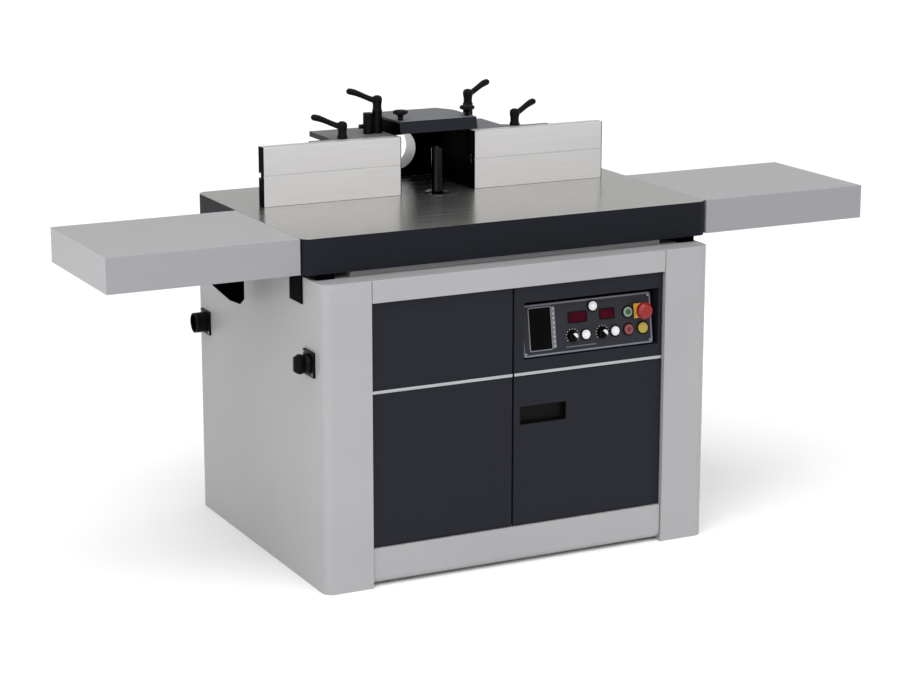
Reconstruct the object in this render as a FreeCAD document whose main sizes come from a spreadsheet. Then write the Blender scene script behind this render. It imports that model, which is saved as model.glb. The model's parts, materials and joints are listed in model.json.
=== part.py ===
import FreeCAD, Part
import math
import os
import re

import Sketcher

# Spindle moulder with two table extensions, in millimetres.
# The origin is on the floor under the middle of the machine, +X points to the
# operator's right, +Y away from the operator and +Z up.

SIZES = {
    # Fits
    "running_fit": 0.05,
    "fit_gap": 0.3,
    "cut_overrun": 2,
    # Cabinet
    "cabinet_width": 1091,
    "cabinet_depth": 850,
    "cabinet_height": 785,
    "sheet": 3,
    "corner_radius": 25,
    "post_width": 130,
    "post_return": 45,
    "base_sheet": 6,
    "skid_width": 70,
    "skid_height": 30,
    "skid_inset": 35,
    "skid_end_inset": 45,
    "anchor_radius": 7,
    "anchor_inset": 80.5,
    "anchor_end_inset": 85,
    "deck_opening_width": 700,
    "deck_opening_depth": 640,
    "upstand_half_width": 440,
    "upstand_inset": 20,
    "upstand_height": 12,
    "back_panel_lift": 12,
    "vent_length": 120,
    "vent_height": 8,
    "vent_pitch": 26,
    "vent_lift": 120,
    "vent_offset": 210,
    # Front of the cabinet
    "rail_height": 57,
    "rail_depth": 42,
    "kick_top": 101,
    "kick_lift": 9,
    "kick_setback": 6,
    "kick_depth": 60,
    "kick_radius": 18,
    "panel_setback": 12,
    "panel_depth": 22,
    "panel_reveal": 2.5,
    "right_bay": 436.5,
    "panel_gap": 5,
    "mullion_width": 28,
    "mullion_depth": 20,
    "trim_lift": 497,
    "trim_height": 8,
    "trim_stand": 2,
    # Door
    "hinge_inset": 12,
    "hinge_setback": 6,
    "door_seal": 2,
    "hinge_pin_radius": 4,
    "hinge_pin_depth": 16,
    "hinge_bar_half": 10,
    "pull_inset": 20,
    "pull_width": 134,
    "pull_height": 48,
    "pull_lift": 367.5,
    "pull_depth": 18,
    "pull_wall": 2,
    # Leaning control panel
    "plate_side_inset": 25.5,
    "plate_lift": 540,
    "plate_width": 380,
    "plate_rise": 132,
    "plate_lean": 20,
    "plate_sheet": 3,
    "plate_inset": 1,
    "recess_shade": 12,
    "recess_wall": 2,
    "recess_depth": 36,
    "glass_sheet": 1,
    "window_left": 22,
    "window_width": 62,
    "window_lift": 16,
    "window_height": 107,
    "display_lift": 77,
    "display_height": 24,
    "height_display_left": 137,
    "height_display_width": 50,
    "speed_display_left": 229,
    "speed_display_width": 39,
    "control_row": 42,
    "display_row": 87,
    "mode_across": 207,
    "mode_up": 113,
    "height_selector_across": 145,
    "height_set_across": 183,
    "speed_selector_across": 232,
    "speed_set_across": 269,
    "start_across": 309,
    "stop_across": 309,
    "jog_across": 351,
    "estop_across": 347,
    "button_radius": 12,
    "start_radius": 13,
    "jog_radius": 14,
    "button_stand": 5,
    "button_tail": 6,
    "bezel_wall": 3,
    "bezel_stand": 3,
    "selector_radius": 13,
    "selector_stand": 10,
    "selector_stem_radius": 5,
    "pointer_width": 7,
    "pointer_stand": 5,
    "estop_plate": 38,
    "estop_plate_sheet": 2,
    "estop_stem_radius": 9,
    "estop_head_radius": 22,
    "estop_neck": 18,
    "estop_edge": 28,
    "estop_stand": 37,
    "estop_crown_radius": 14,
    # Electrics behind the panel
    "electrics_setback": 62,
    "electrics_depth": 75,
    "electrics_width": 330,
    "electrics_height": 150,
    "electrics_shelf": 8,
    # Fittings on the left wall
    "switch_plate": 64,
    "switch_plate_sheet": 6,
    "switch_back": 81,
    "switch_lift": 577,
    "switch_hub_radius": 25,
    "switch_hub_length": 14,
    "switch_grip_length": 24,
    "switch_grip_width": 14,
    "switch_stem_radius": 6,
    "switch_stem_length": 3,
    "inlet_inset": 65,
    "inlet_lift": 531,
    "inlet_plate": 64,
    "inlet_plate_sheet": 5,
    "inlet_shroud_radius": 27,
    "inlet_shroud_wall": 3,
    "inlet_shroud_length": 32,
    "inlet_pin_radius": 3,
    "inlet_pin_circle": 14,
    "inlet_pin_length": 24,
    # Table
    "table_length": 1148,
    "table_depth": 710,
    "table_height": 890,
    "table_thickness": 90,
    "table_setback": 55,
    "table_corner": 30,
    "table_plate": 25,
    "table_skirt": 18,
    "bearing_rib_width": 55,
    "bearing_rib_inset": 63,
    "bearing_deck_inset": 34.5,
    "cross_rib_width": 16,
    "cross_rib_out": 260,
    "support_width": 48,
    "support_length": 100,
    "support_inset": 4,
    "insert_radius": 60,
    "insert_bore_radius": 38,
    "insert_thickness": 10,
    "insert_ledge": 8,
    # Table extensions
    "extension_length": 490,
    "extension_depth": 415,
    "extension_thickness": 88,
    "extension_setback": 10,
    "extension_wall": 5,
    "dowel_radius": 8,
    "dowel_length": 16,
    "dowel_inset": 60,
    "bracket_sheet": 12,
    "bracket_inset": 12,
    "bracket_reach": 185,
    "bracket_drop": 150,
    "bracket_nose": 16,
    "bracket_step": 40,
    "bracket_toe": 58,
    "bracket_root": 85,
    "bracket_offset": 20,
    "bracket_chamfer": 12,
    "cover_front": 121,
    "cover_width": 76,
    "cover_lift": 716,
    "cover_sheet": 4,
    # Spindle
    "fence_setback": 481,
    "spindle_offset": 6,
    "arbor_radius": 15,
    "arbor_stand": 120,
    "arbor_shoulder": 8,
    "arbor_chamfer": 2,
    "arbor_thread_radius": 6,
    "arbor_thread_depth": 30,
    "collar_radius": 28,
    "collar_length": 32,
    "shaft_radius": 22.5,
    "shaft_tail_radius": 14,
    "housing_radius": 55,
    "housing_bore": 35,
    "housing_top_drop": 50,
    "housing_length": 315,
    "bearing_radius": 42.5,
    "bearing_width": 19,
    "bearing_top_inset": 16,
    "bearing_low_inset": 20,
    # Lift
    "carriage_half_width": 112,
    "carriage_foot": 15,
    "carriage_foot_lift": 515,
    "carriage_height": 225,
    "carriage_ring_radius": 75,
    "carriage_web_half": 60,
    "carriage_block_front": 75,
    "carriage_block_back": 145,
    "motor_foot_reach": 118,
    "column_radius": 16,
    "column_spread": 78,
    "column_back": 110,
    "bracket_plate": 20,
    "bracket_half_width": 115,
    "bracket_front": 68,
    "bracket_back": 155,
    "bracket_foot_lift": 140,
    "barrel_radius": 30,
    "barrel_top": 385,
    "barrel_floor": 12,
    "rod_radius": 15,
    "rod_grip": 45,
    "lift_motor_radius": 34,
    "lift_motor_length": 96,
    # Drive
    "pulley_lift": 400,
    "pulley_step": 25,
    "pulley_large": 70,
    "pulley_fall": 10,
    "motor_pulley_small": 45,
    "belt_width": 18,
    "belt_thickness": 6,
    "motor_spacing": 212,
    "motor_radius": 92,
    "motor_length": 250,
    "motor_fin": 8,
    "motor_fin_width": 3,
    "motor_fin_inset": 35,
    "motor_shaft_radius": 14,
    "motor_shaft_grip": 80,
    "terminal_width": 90,
    "terminal_depth": 45,
    "terminal_height": 70,
    "terminal_lift": 90,
    # Fence
    "plate_gap": 214,
    "fence_length": 391,
    "fence_height": 155,
    "fence_thickness": 30,
    "fence_rule_lift": 80,
    "fence_rule_width": 3,
    "fence_rule_depth": 2,
    "slot_neck": 12,
    "slot_head": 24,
    "slot_head_depth": 8,
    "slot_depth": 14,
    "carrier_length": 240,
    "carrier_depth": 166,
    "carrier_tip_depth": 16,
    "left_carrier_shoulder": 174,
    "right_carrier_shoulder": 117,
    "left_carrier_tail": 178,
    "right_carrier_tail": 170,
    "carrier_root_depth": 48,
    "carrier_wall": 14,
    "hood_half_width": 110,
    "hood_wall": 5,
    "hood_depth": 223,
    "hood_roof_lift": 189,
    "hood_back_lift": 135,
    "hood_slope": 73,
    "hood_front_gap": 6,
    "hood_lip_width": 24,
    "hood_lip_lead": 3,
    "hood_lip_lap": 2,
    "port_lift": 78,
    "port_radius": 60,
    "port_wall": 4,
    "port_length": 55,
    "roof_half_width": 112,
    "roof_sheet": 6,
    "roof_overhang": 3,
    "roof_depth": 189,
    "roof_chamfer_width": 27,
    "roof_chamfer_depth": 52,
    "visor_drop": 31,
    "visor_slant": 8,
    "visor_sheet": 4,
    "pillar_radius": 13,
    "drum_radius": 14,
    "drum_offset": 26,
    "drum_web": 16,
    "drum_web_drop": 12,
    "pillar_height": 55,
    "pillar_out": 134,
    "pillar_back": 91,
    "stop_screw_radius": 6,
    "stop_screw_length": 12,
    "stop_screw_lift": 20,
    "stud_radius": 6,
    "stud_play": 1.3,
    "fence_forward": 50,
    "fence_backward": 40,
    "tee_nut": 26,
    "tee_nut_thickness": 8,
    # Clamping levers and knobs on the fence
    "lever_out": 254,
    "lever_back": 49,
    "lever_hub_radius": 13.5,
    "lever_hub_height": 40,
    "lever_bore_depth": 24,
    "lever_reach": 72,
    "lever_climb": 25,
    "lever_root_radius": 9.5,
    "lever_tip_radius": 8.5,
    "lever_end_radius": 9.5,
    "knob_out": 98,
    "knob_back": 24,
    "knob_radius": 20,
    "knob_stem_radius": 7,
    "knob_stem": 12,
    "knob_rim": 10,
    "knob_crown": 6,
    "knob_crown_radius": 9,
    "knob_stud_radius": 4,
    "knob_stud_height": 10,
}

# Angles and counts
LEVER_SWEEP_DEGREES = 20
MOTOR_FINS = 16
PULLEY_STEPS = 4
BELT_STEP = 1
VENT_ROWS = 8
INLET_PINS = 5
EXTENSION_CHAMBERS = 4
RIGHT_ANGLE = 90
FULL_TURN = 360

doc = FreeCAD.newDocument("SpindleMoulder")
sheet = doc.addObject("Spreadsheet::Sheet", "Sizes")
for row, (alias, length) in enumerate(SIZES.items(), start=1):
    sheet.set(f"A{row}", alias)
    sheet.set(f"B{row}", str(length))
    sheet.setAlias(f"B{row}", alias)
doc.recompute()

# Places that several pieces share
SIDE = "cabinet_width / 2"
FRONT = "(-cabinet_depth / 2)"
BACK = "(cabinet_depth / 2)"
TOP = "cabinet_height"
OPENING = "(cabinet_width / 2 - post_width)"
RAIL_BOTTOM = "(cabinet_height - rail_height)"
PANEL_FACE = f"({FRONT} + panel_setback)"
SPLIT = f"({OPENING} - right_bay)"
SPLIT_LEFT = f"({SPLIT} - panel_gap / 2)"
SPLIT_RIGHT = f"({SPLIT} + panel_gap / 2)"
PLATE_LEFT = f"({OPENING} - plate_side_inset - plate_width)"
FASCIA_BOTTOM = "trim_lift"
DOOR_TOP = "(trim_lift - panel_reveal)"
DOOR_BOTTOM = "(kick_top + panel_reveal)"
DOOR_RIGHT = f"({OPENING} - panel_reveal)"
HINGE_X = f"({DOOR_RIGHT} - hinge_inset)"
HINGE_Y = f"({PANEL_FACE} + hinge_setback)"
PANEL_BACK = f"({PANEL_FACE} + panel_depth)"
DOOR_BACK = f"({PANEL_FACE} + panel_depth - door_seal)"
TABLE_FRONT = f"({FRONT} + table_setback)"
TABLE_BACK = f"({TABLE_FRONT} + table_depth)"
TABLE_TOP = "table_height"
TABLE_BOTTOM = "(table_height - table_thickness)"
TABLE_UNDER = "(table_height - table_plate)"
TABLE_SIDE = "table_length / 2"
# The bearing ribs stand under the table and over the deck, whichever is the shorter
BEARING_OUT = f"min({TABLE_SIDE} - bearing_rib_inset; {SIDE} - bearing_deck_inset)"
RIB_PLACES = {"bearing_rib": BEARING_OUT, "cross_rib": "cross_rib_out"}
FENCE_Y = f"({FRONT} + fence_setback)"
FENCE_BACK = f"({FENCE_Y} + fence_thickness)"
FENCE_BOTTOM = "(table_height + fit_gap)"
FENCE_TOP = "(table_height + fence_height)"
SLOT_Z = "(table_height + fence_rule_lift)"
CARRIER_FRONT = f"({FENCE_BACK} + fit_gap)"
PILLAR_Y = f"({FENCE_Y} + pillar_back)"
PILLAR_TOP = f"({FENCE_TOP} + pillar_height)"
LEVER_Y = f"({FENCE_Y} + lever_back)"
ROOF_TOP = "(table_height + hood_roof_lift + roof_sheet)"
KNOB_Y = f"({FENCE_Y} + knob_back)"
SPINDLE_Y = f"({FENCE_Y} + spindle_offset)"
MOTOR_Y = f"({SPINDLE_Y} - motor_spacing)"
COLUMN_Y = f"({SPINDLE_Y} + column_back)"
FOOT_TOP = "(carriage_foot_lift + carriage_foot)"
EXTENSION_START = "(table_length / 2 + fit_gap)"
EXTENSION_END = "(table_length / 2 + fit_gap + extension_length)"
EXTENSION_FRONT = f"({TABLE_FRONT} + extension_setback)"
EXTENSION_BACK = f"({EXTENSION_FRONT} + extension_depth)"
EXTENSION_BOTTOM = "(table_height - extension_thickness)"
DOWEL_Z = "(table_height - extension_thickness / 2)"
DOWELS = {"front": "dowel_inset", "back": "extension_depth - dowel_inset"}

ABOUT_AXIS = {
    "x": FreeCAD.Rotation(FreeCAD.Vector(0, 1, 0), RIGHT_ANGLE),
    "y": FreeCAD.Rotation(FreeCAD.Vector(1, 0, 0), -RIGHT_ANGLE),
    "z": FreeCAD.Rotation(),
}
SIDES = {"left": -1, "right": 1}
nodes = []


def size(alias):
    """The number in one cell of the sheet."""
    return float(getattr(sheet, alias))


def in_sheet(formula):
    """The formula with each size named as a cell of the sheet."""
    return re.sub(r"[a-z_]+", lambda word: f"Sizes.{word[0]}" if word[0] in SIZES else word[0], formula)


def bind(target, path, formula):
    target.setExpression(path, in_sheet(formula))


def put(target, place, turn=None):
    """Binds where a piece stands, turned first if a rotation is given."""
    if turn is not None:
        target.Placement = FreeCAD.Placement(FreeCAD.Vector(), turn)
    for axis, formula in zip("xyz", place):
        bind(target, f"Placement.Base.{axis}", formula)
    return target


def on_side(side, near, far):
    """A span of X between two distances from the middle, on one side."""
    return (near, far) if side > 0 else (f"-({far})", f"-({near})")


def slab(name, x, y, z):
    """A block between two limits along each axis."""
    block = doc.addObject("Part::Box", name)
    for edge, (start, end) in zip(("Length", "Width", "Height"), (x, y, z)):
        bind(block, edge, f"({end}) - ({start})")
    return put(block, (x[0], y[0], z[0]))


def rod(name, radius, length, place, axis="z"):
    """A cylinder that starts at a place and runs along an axis."""
    cylinder = doc.addObject("Part::Cylinder", name)
    bind(cylinder, "Radius", radius)
    bind(cylinder, "Height", length)
    return put(cylinder, place, ABOUT_AXIS[axis])


def fuse(name, *pieces):
    result = doc.addObject("Part::MultiFuse", name)
    result.Shapes = list(pieces)
    result.Refine = True
    return result


def cut(name, base, *tools):
    result = doc.addObject("Part::Cut", name)
    result.Base = base
    result.Tool = tools[0] if len(tools) == 1 else fuse(f"{name}_tools", *tools)
    return result


def bundle(name, *pieces):
    """Separate solids kept as one piece."""
    result = doc.addObject("Part::Compound", name)
    result.Links = list(pieces)
    return result


def rounded(name, base, radius, chosen):
    """The piece with the chosen edges rounded."""
    doc.recompute()
    result = doc.addObject("Part::Fillet", name)
    result.Base = base
    edges = enumerate(base.Shape.Edges, start=1)
    result.Edges = [(number, radius, radius) for number, edge in edges if chosen(edge)]
    return result


def upright(edge):
    box = edge.BoundBox
    return box.ZLength > box.XLength + box.YLength


def outline(body, plane, points):
    """A closed sketch of straight lines, each corner bound to two formulas."""
    support = next(item for item in body.Origin.OriginFeatures if item.Role == plane)
    sketch = body.newObject("Sketcher::SketchObject", f"{body.Name}_outline")
    sketch.AttachmentSupport = [(support, "")]
    sketch.MapMode = "FlatFace"
    count = len(points)
    turns = [2 * math.pi * index / count for index in range(count)]
    starts = [FreeCAD.Vector(math.cos(turn), math.sin(turn), 0) for turn in turns]
    for index in range(count):
        sketch.addGeometry(Part.LineSegment(starts[index], starts[(index + 1) % count]))
    for index in range(count):
        sketch.addConstraint(Sketcher.Constraint("Coincident", index, 2, (index + 1) % count, 1))
    for index, formulas in enumerate(points):
        first = (starts[index].x, starts[index].y)
        for kind, formula, start in zip(("DistanceX", "DistanceY"), formulas, first):
            number = sketch.addConstraint(Sketcher.Constraint(kind, -1, 1, index, 1, start))
            bind(sketch, f"Constraints[{number}]", formula)
    return sketch


def prism(name, plane, points, length, place):
    """A padded outline: XY pads up, XZ pads towards the front, YZ pads to the right."""
    body = doc.addObject("PartDesign::Body", name)
    sketch = outline(body, f"{plane}_Plane", points)
    pad = body.newObject("PartDesign::Pad", f"{name}_pad")
    pad.Profile = sketch
    bind(pad, "Length", length)
    return put(body, place)


def turned(name, points, place, axis="z"):
    """A half outline, as radius and height, revolved round the axis."""
    body = doc.addObject("PartDesign::Body", name)
    sketch = outline(body, "XZ_Plane", points)
    spin = body.newObject("PartDesign::Revolution", f"{name}_turn")
    spin.Profile = sketch
    spin.ReferenceAxis = (sketch, ["V_Axis"])
    spin.Angle = FULL_TURN
    return put(body, place, ABOUT_AXIS[axis])


def pan(name, x, y, z):
    """A folded sheet tray with its face to the front and its edges turned back."""
    outer = slab(f"{name}_outer", x, y, z)
    inner = slab(
        f"{name}_inner",
        (f"{x[0]} + sheet", f"{x[1]} - sheet"),
        (f"{y[0]} + sheet", f"{y[1]} + cut_overrun"),
        (f"{z[0]} + sheet", f"{z[1]} - sheet"),
    )
    return cut(f"{name}_pan", outer, inner)


def node(label, piece):
    """Names a finished piece and keeps it for the parts folder."""
    piece.Label = label
    nodes.append(piece)
    return piece


# Cabinet

def side_panel(word, side):
    """Folded wall: its front return is the post, with a flange, and its back return frames the back."""
    def outermost(edge, base):
        return upright(edge) and side * edge.CenterOfMass.x > side * base.Shape.BoundBox.Center.x

    outer = slab(f"{word}_wall_outer", on_side(side, OPENING, SIDE), (FRONT, BACK), ("0", TOP))
    outer = rounded(f"{word}_wall_bend", outer, size("corner_radius"), lambda edge: outermost(edge, outer))
    inner = slab(
        f"{word}_wall_inner",
        on_side(side, f"{OPENING} - cut_overrun", f"{SIDE} - sheet"),
        (f"{FRONT} + sheet", f"{BACK} - sheet"),
        ("-cut_overrun", f"{TOP} + cut_overrun"),
    )
    inner_radius = size("corner_radius") - size("sheet")
    inner = rounded(f"{word}_wall_hollow", inner, inner_radius, lambda edge: outermost(edge, inner))
    shell = cut(f"{word}_wall_shell", outer, inner)
    flange = slab(
        f"{word}_wall_return",
        on_side(side, OPENING, f"{OPENING} + sheet"),
        (FRONT, f"{FRONT} + post_return"),
        ("0", f"{TOP} - sheet"),
    )
    node(f"{word}_side_panel", fuse(f"{word}_side_panel", shell, flange))


def base_frame():
    inside = f"({SIDE} - sheet)"
    kick_back = f"({FRONT} + kick_setback + kick_depth)"
    floor = slab(
        "base_floor",
        (f"-{inside}", inside),
        (kick_back, f"{BACK} - sheet - corner_radius"),
        ("skid_height", "skid_height + base_sheet"),
    )
    skids = [
        slab(
            f"base_skid_{word}",
            on_side(side, f"{SIDE} - skid_inset - skid_width", f"{SIDE} - skid_inset"),
            (kick_back, f"{BACK} - skid_end_inset"),
            ("0", "skid_height"),
        )
        for word, side in SIDES.items()
    ]
    holes = [
        rod(
            f"anchor_{word}_{end}",
            "anchor_radius",
            "skid_height + base_sheet + 2 * cut_overrun",
            (f"{side} * ({SIDE} - anchor_inset)", f"{along} * ({BACK} - anchor_end_inset)", "-cut_overrun"),
        )
        for word, side in SIDES.items()
        for end, along in (("front", -1), ("back", 1))
    ]
    node("base_frame", cut("base_frame", fuse("base_body", floor, *skids), *holes))


def back_panel():
    wall = slab(
        "back_sheet",
        (f"-{OPENING}", OPENING),
        (f"{BACK} - sheet", BACK),
        ("back_panel_lift", f"{TOP} - sheet"),
    )
    vents = [
        slab(
            f"vent_{word}_{number}",
            (f"{side} * vent_offset - vent_length / 2", f"{side} * vent_offset + vent_length / 2"),
            (f"{BACK} - sheet - cut_overrun", f"{BACK} + cut_overrun"),
            (f"vent_lift + {number} * vent_pitch", f"vent_lift + {number} * vent_pitch + vent_height"),
        )
        for word, side in SIDES.items()
        for number in range(VENT_ROWS)
    ]
    node("back_panel", cut("back_panel", wall, *vents))


def deck_upstand():
    """Low ring on the deck, just inside the edge of the table above it."""
    front = f"({TABLE_FRONT} + upstand_inset)"
    back = f"({TABLE_BACK} - upstand_inset)"
    outer = slab(
        "upstand_outer",
        ("-upstand_half_width", "upstand_half_width"),
        (front, back),
        (f"{TOP} - sheet", f"{TOP} + upstand_height"),
    )
    inner = slab(
        "upstand_inner",
        ("-upstand_half_width + sheet", "upstand_half_width - sheet"),
        (f"{front} + sheet", f"{back} - sheet"),
        (f"{TOP} - sheet - cut_overrun", f"{TOP} + upstand_height + cut_overrun"),
    )
    return cut("deck_upstand", outer, inner)


def top_deck():
    """Sheet under the table with a large opening for the drive and a low upstand round it."""
    inside = f"({SIDE} - sheet)"
    deck = slab(
        "deck_sheet",
        (f"-{inside}", inside),
        (f"{FRONT} + sheet", f"{BACK} - sheet"),
        (f"{TOP} - sheet", TOP),
    )
    deck = rounded("deck_corners", deck, size("corner_radius") - size("sheet"), upright)
    opening = slab(
        "deck_opening",
        ("-deck_opening_width / 2", "deck_opening_width / 2"),
        ("-deck_opening_depth / 2", "deck_opening_depth / 2"),
        (f"{TOP} - sheet - cut_overrun", f"{TOP} + cut_overrun"),
    )
    node("top_deck", fuse("top_deck", cut("deck_plate", deck, opening), deck_upstand()))


def front_frame():
    """Rail across the top of the front, flush with the posts, and the upright behind the panel joint."""
    face = slab("rail_face", (f"-{OPENING}", OPENING), (FRONT, f"{FRONT} + sheet"), (RAIL_BOTTOM, TOP))
    lip = slab(
        "rail_lip",
        (f"-{OPENING}", OPENING),
        (FRONT, f"{FRONT} + rail_depth"),
        (RAIL_BOTTOM, f"{RAIL_BOTTOM} + sheet"),
    )
    mullion = slab(
        "front_mullion",
        (f"{SPLIT} - mullion_width / 2", f"{SPLIT} + mullion_width / 2"),
        (PANEL_BACK, f"{PANEL_BACK} + mullion_depth"),
        ("kick_top", RAIL_BOTTOM),
    )
    node("front_frame", fuse("front_frame", face, lip, mullion))


def kick_panel():
    """Plinth sheet under the doors with a rounded lower edge."""
    face = f"({FRONT} + kick_setback)"
    outer = slab(
        "kick_outer", (f"-{OPENING}", OPENING), (face, f"{face} + kick_depth"), ("kick_lift", "kick_top")
    )

    def lower_front(edge, base):
        box = base.Shape.BoundBox
        middle = edge.CenterOfMass
        return edge.BoundBox.XLength > box.YLength and middle.y < box.Center.y and middle.z < box.Center.z

    outer = rounded("kick_bend", outer, size("kick_radius"), lambda edge: lower_front(edge, outer))
    inner = slab(
        "kick_inner",
        (f"-{OPENING} - cut_overrun", f"{OPENING} + cut_overrun"),
        (f"{face} + sheet", f"{face} + kick_depth + cut_overrun"),
        ("kick_lift + sheet", "kick_top - sheet"),
    )
    inner_radius = size("kick_radius") - size("sheet")
    inner = rounded("kick_hollow", inner, inner_radius, lambda edge: lower_front(edge, inner))
    node("kick_panel", cut("kick_panel", outer, inner))


def left_front_panel():
    face = pan(
        "left_front",
        (f"-{OPENING} + panel_reveal", SPLIT_LEFT),
        (PANEL_FACE, PANEL_BACK),
        (DOOR_BOTTOM, f"{RAIL_BOTTOM} - panel_reveal"),
    )
    node("left_front_panel", face)


def trim_strips():
    spans = {"left": (f"-{OPENING} + panel_reveal", SPLIT_LEFT), "right": (SPLIT_RIGHT, DOOR_RIGHT)}
    strips = [
        slab(
            f"trim_{word}",
            span,
            (f"{PANEL_FACE} - trim_stand", PANEL_FACE),
            ("trim_lift", "trim_lift + trim_height"),
        )
        for word, span in spans.items()
    ]
    node("trim_strips", bundle("trim_strips", *strips))


def control_fascia():
    """Panel above the door with a deep frame round the leaning control plate."""
    recess_x = (PLATE_LEFT, f"{PLATE_LEFT} + plate_width + recess_shade")
    recess_z = ("plate_lift - plate_sheet", "plate_lift + plate_rise + recess_shade")
    face = pan(
        "fascia", (SPLIT_RIGHT, DOOR_RIGHT), (PANEL_FACE, PANEL_BACK),
        (FASCIA_BOTTOM, f"{RAIL_BOTTOM} - panel_reveal"),
    )
    frame = slab(
        "fascia_frame",
        (f"{recess_x[0]} - recess_wall", f"{recess_x[1]} + recess_wall"),
        (PANEL_FACE, f"{PANEL_FACE} + recess_depth"),
        (f"{recess_z[0]} - recess_wall", f"{recess_z[1]} + recess_wall"),
    )
    hole = slab(
        "fascia_hole",
        recess_x,
        (f"{PANEL_FACE} - cut_overrun", f"{PANEL_FACE} + recess_depth + cut_overrun"),
        recess_z,
    )
    node("control_fascia", cut("control_fascia", fuse("fascia_body", face, frame), hole))


def electrics_box():
    """Contactor box behind the control plate, hung on the fascia's frame."""
    middle = f"({PLATE_LEFT} + plate_width / 2)"
    front = f"({PANEL_FACE} + electrics_setback)"
    lift = "(plate_lift - electrics_shelf)"
    shell = slab(
        "electrics_shell",
        (f"{middle} - electrics_width / 2", f"{middle} + electrics_width / 2"),
        (front, f"{front} + electrics_depth"),
        (lift, f"{lift} + electrics_height"),
    )
    hangers = [
        slab(
            f"electrics_hanger_{word}",
            (f"{middle} + {side} * electrics_width / 2 - electrics_shelf",
             f"{middle} + {side} * electrics_width / 2 + electrics_shelf"),
            (f"{PANEL_FACE} + recess_depth", front),
            (lift, f"{lift} + electrics_shelf"),
        )
        for word, side in SIDES.items()
    ]
    node("electrics_box", fuse("electrics_box", shell, *hangers))


# Door

def door():
    face = pan("door_face", (SPLIT_RIGHT, DOOR_RIGHT), (PANEL_FACE, DOOR_BACK), (DOOR_BOTTOM, DOOR_TOP))
    bar = slab(
        "door_hinge_bar",
        (f"{HINGE_X} - hinge_bar_half", DOOR_RIGHT),
        (PANEL_FACE, DOOR_BACK),
        (DOOR_BOTTOM, DOOR_TOP),
    )
    bores = [
        rod(
            f"door_bore_{end}",
            "hinge_pin_radius + running_fit",
            "hinge_pin_depth + 2 * cut_overrun",
            (HINGE_X, HINGE_Y, start),
        )
        for end, start in (
            ("low", f"{DOOR_BOTTOM} - cut_overrun"),
            ("high", f"{DOOR_TOP} - hinge_pin_depth - cut_overrun"),
        )
    ]
    pull_x = (f"({SPLIT} + pull_inset)", f"({SPLIT} + pull_inset + pull_width)")
    pull_z = ("pull_lift", "pull_lift + pull_height")
    through_face = (f"{PANEL_FACE} - cut_overrun", f"{PANEL_FACE} + sheet + cut_overrun")
    mouth = slab("door_mouth", pull_x, through_face, pull_z)
    node("door_panel", cut("door_panel", fuse("door_body", face, bar), mouth, *bores))
    cup = slab("pull_cup", pull_x, (PANEL_FACE, f"{PANEL_FACE} + pull_depth"), pull_z)
    hollow = slab(
        "pull_hollow",
        (f"{pull_x[0]} + pull_wall", f"{pull_x[1]} - pull_wall"),
        (f"{PANEL_FACE} - cut_overrun", f"{PANEL_FACE} + pull_depth - pull_wall"),
        (f"{pull_z[0]} + pull_wall", f"{pull_z[1]} - pull_wall"),
    )
    node("door_pull", cut("door_pull", cup, hollow))
    pin_starts = {"low": "kick_top", "high": f"{DOOR_TOP} - hinge_pin_depth"}
    pins = [
        rod(
            f"hinge_pin_{end}",
            "hinge_pin_radius",
            "panel_reveal + hinge_pin_depth",
            (HINGE_X, HINGE_Y, start),
        )
        for end, start in pin_starts.items()
    ]
    node("door_hinge_pins", bundle("door_hinge_pins", *pins))


# Control panel, drawn flat with X to the right, Y up the plate and Z out of it

PLATE_LENGTH = "sqrt(plate_rise ^ 2 + plate_lean ^ 2)"
PLATE_TURN = FreeCAD.Rotation(
    FreeCAD.Vector(1, 0, 0), math.degrees(math.atan2(size("plate_rise"), size("plate_lean")))
)
BUTTONS = {
    "mode_button": ("mode_across", "mode_up", "button_radius"),
    "height_set_button": ("height_set_across", "control_row", "button_radius"),
    "speed_set_button": ("speed_set_across", "control_row", "button_radius"),
    "start_button": ("start_across", "display_row", "start_radius"),
    "stop_button": ("stop_across", "control_row", "start_radius"),
    "jog_button": ("jog_across", "control_row", "jog_radius"),
}
SELECTORS = {"height_selector": "height_selector_across", "speed_selector": "speed_selector_across"}


def on_plate(label, *pieces):
    """Stands flat pieces up on the leaning plate as one node."""
    group = bundle(label, *pieces)
    put(group, (PLATE_LEFT, f"{PANEL_FACE} + plate_inset + plate_sheet", "plate_lift"), PLATE_TURN)
    node(label, group)


def control_plate():
    board = slab("board", ("0", "plate_width"), ("0", PLATE_LENGTH), ("-plate_sheet", "0"))
    through = "plate_sheet + 2 * cut_overrun"
    below = "-plate_sheet - cut_overrun"
    holes = [
        rod(f"{name}_hole", f"{radius} + fit_gap", through, (across, up, below))
        for name, (across, up, radius) in BUTTONS.items()
    ]
    holes += [
        rod(f"{name}_hole", "selector_stem_radius + fit_gap", through, (across, "control_row", below))
        for name, across in SELECTORS.items()
    ]
    estop_place = ("estop_across", "display_row", below)
    holes.append(rod("estop_hole", "estop_stem_radius + fit_gap", through, estop_place))
    on_plate("control_plate", cut("board_with_holes", board, *holes))


def panel_displays():
    glass = ("0", "glass_sheet")
    tall = ("display_lift", "display_lift + display_height")
    panes = [
        slab(f"{pane}_pane", (f"{pane}_left", f"{pane}_left + {pane}_width"), up, glass)
        for pane, up in (
            ("window", ("window_lift", "window_lift + window_height")),
            ("height_display", tall),
            ("speed_display", tall),
        )
    ]
    on_plate("panel_displays", *panes)


def ring(name, inner, outer, low, high, place):
    return turned(name, [(inner, low), (outer, low), (outer, high), (inner, high)], place)


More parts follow.
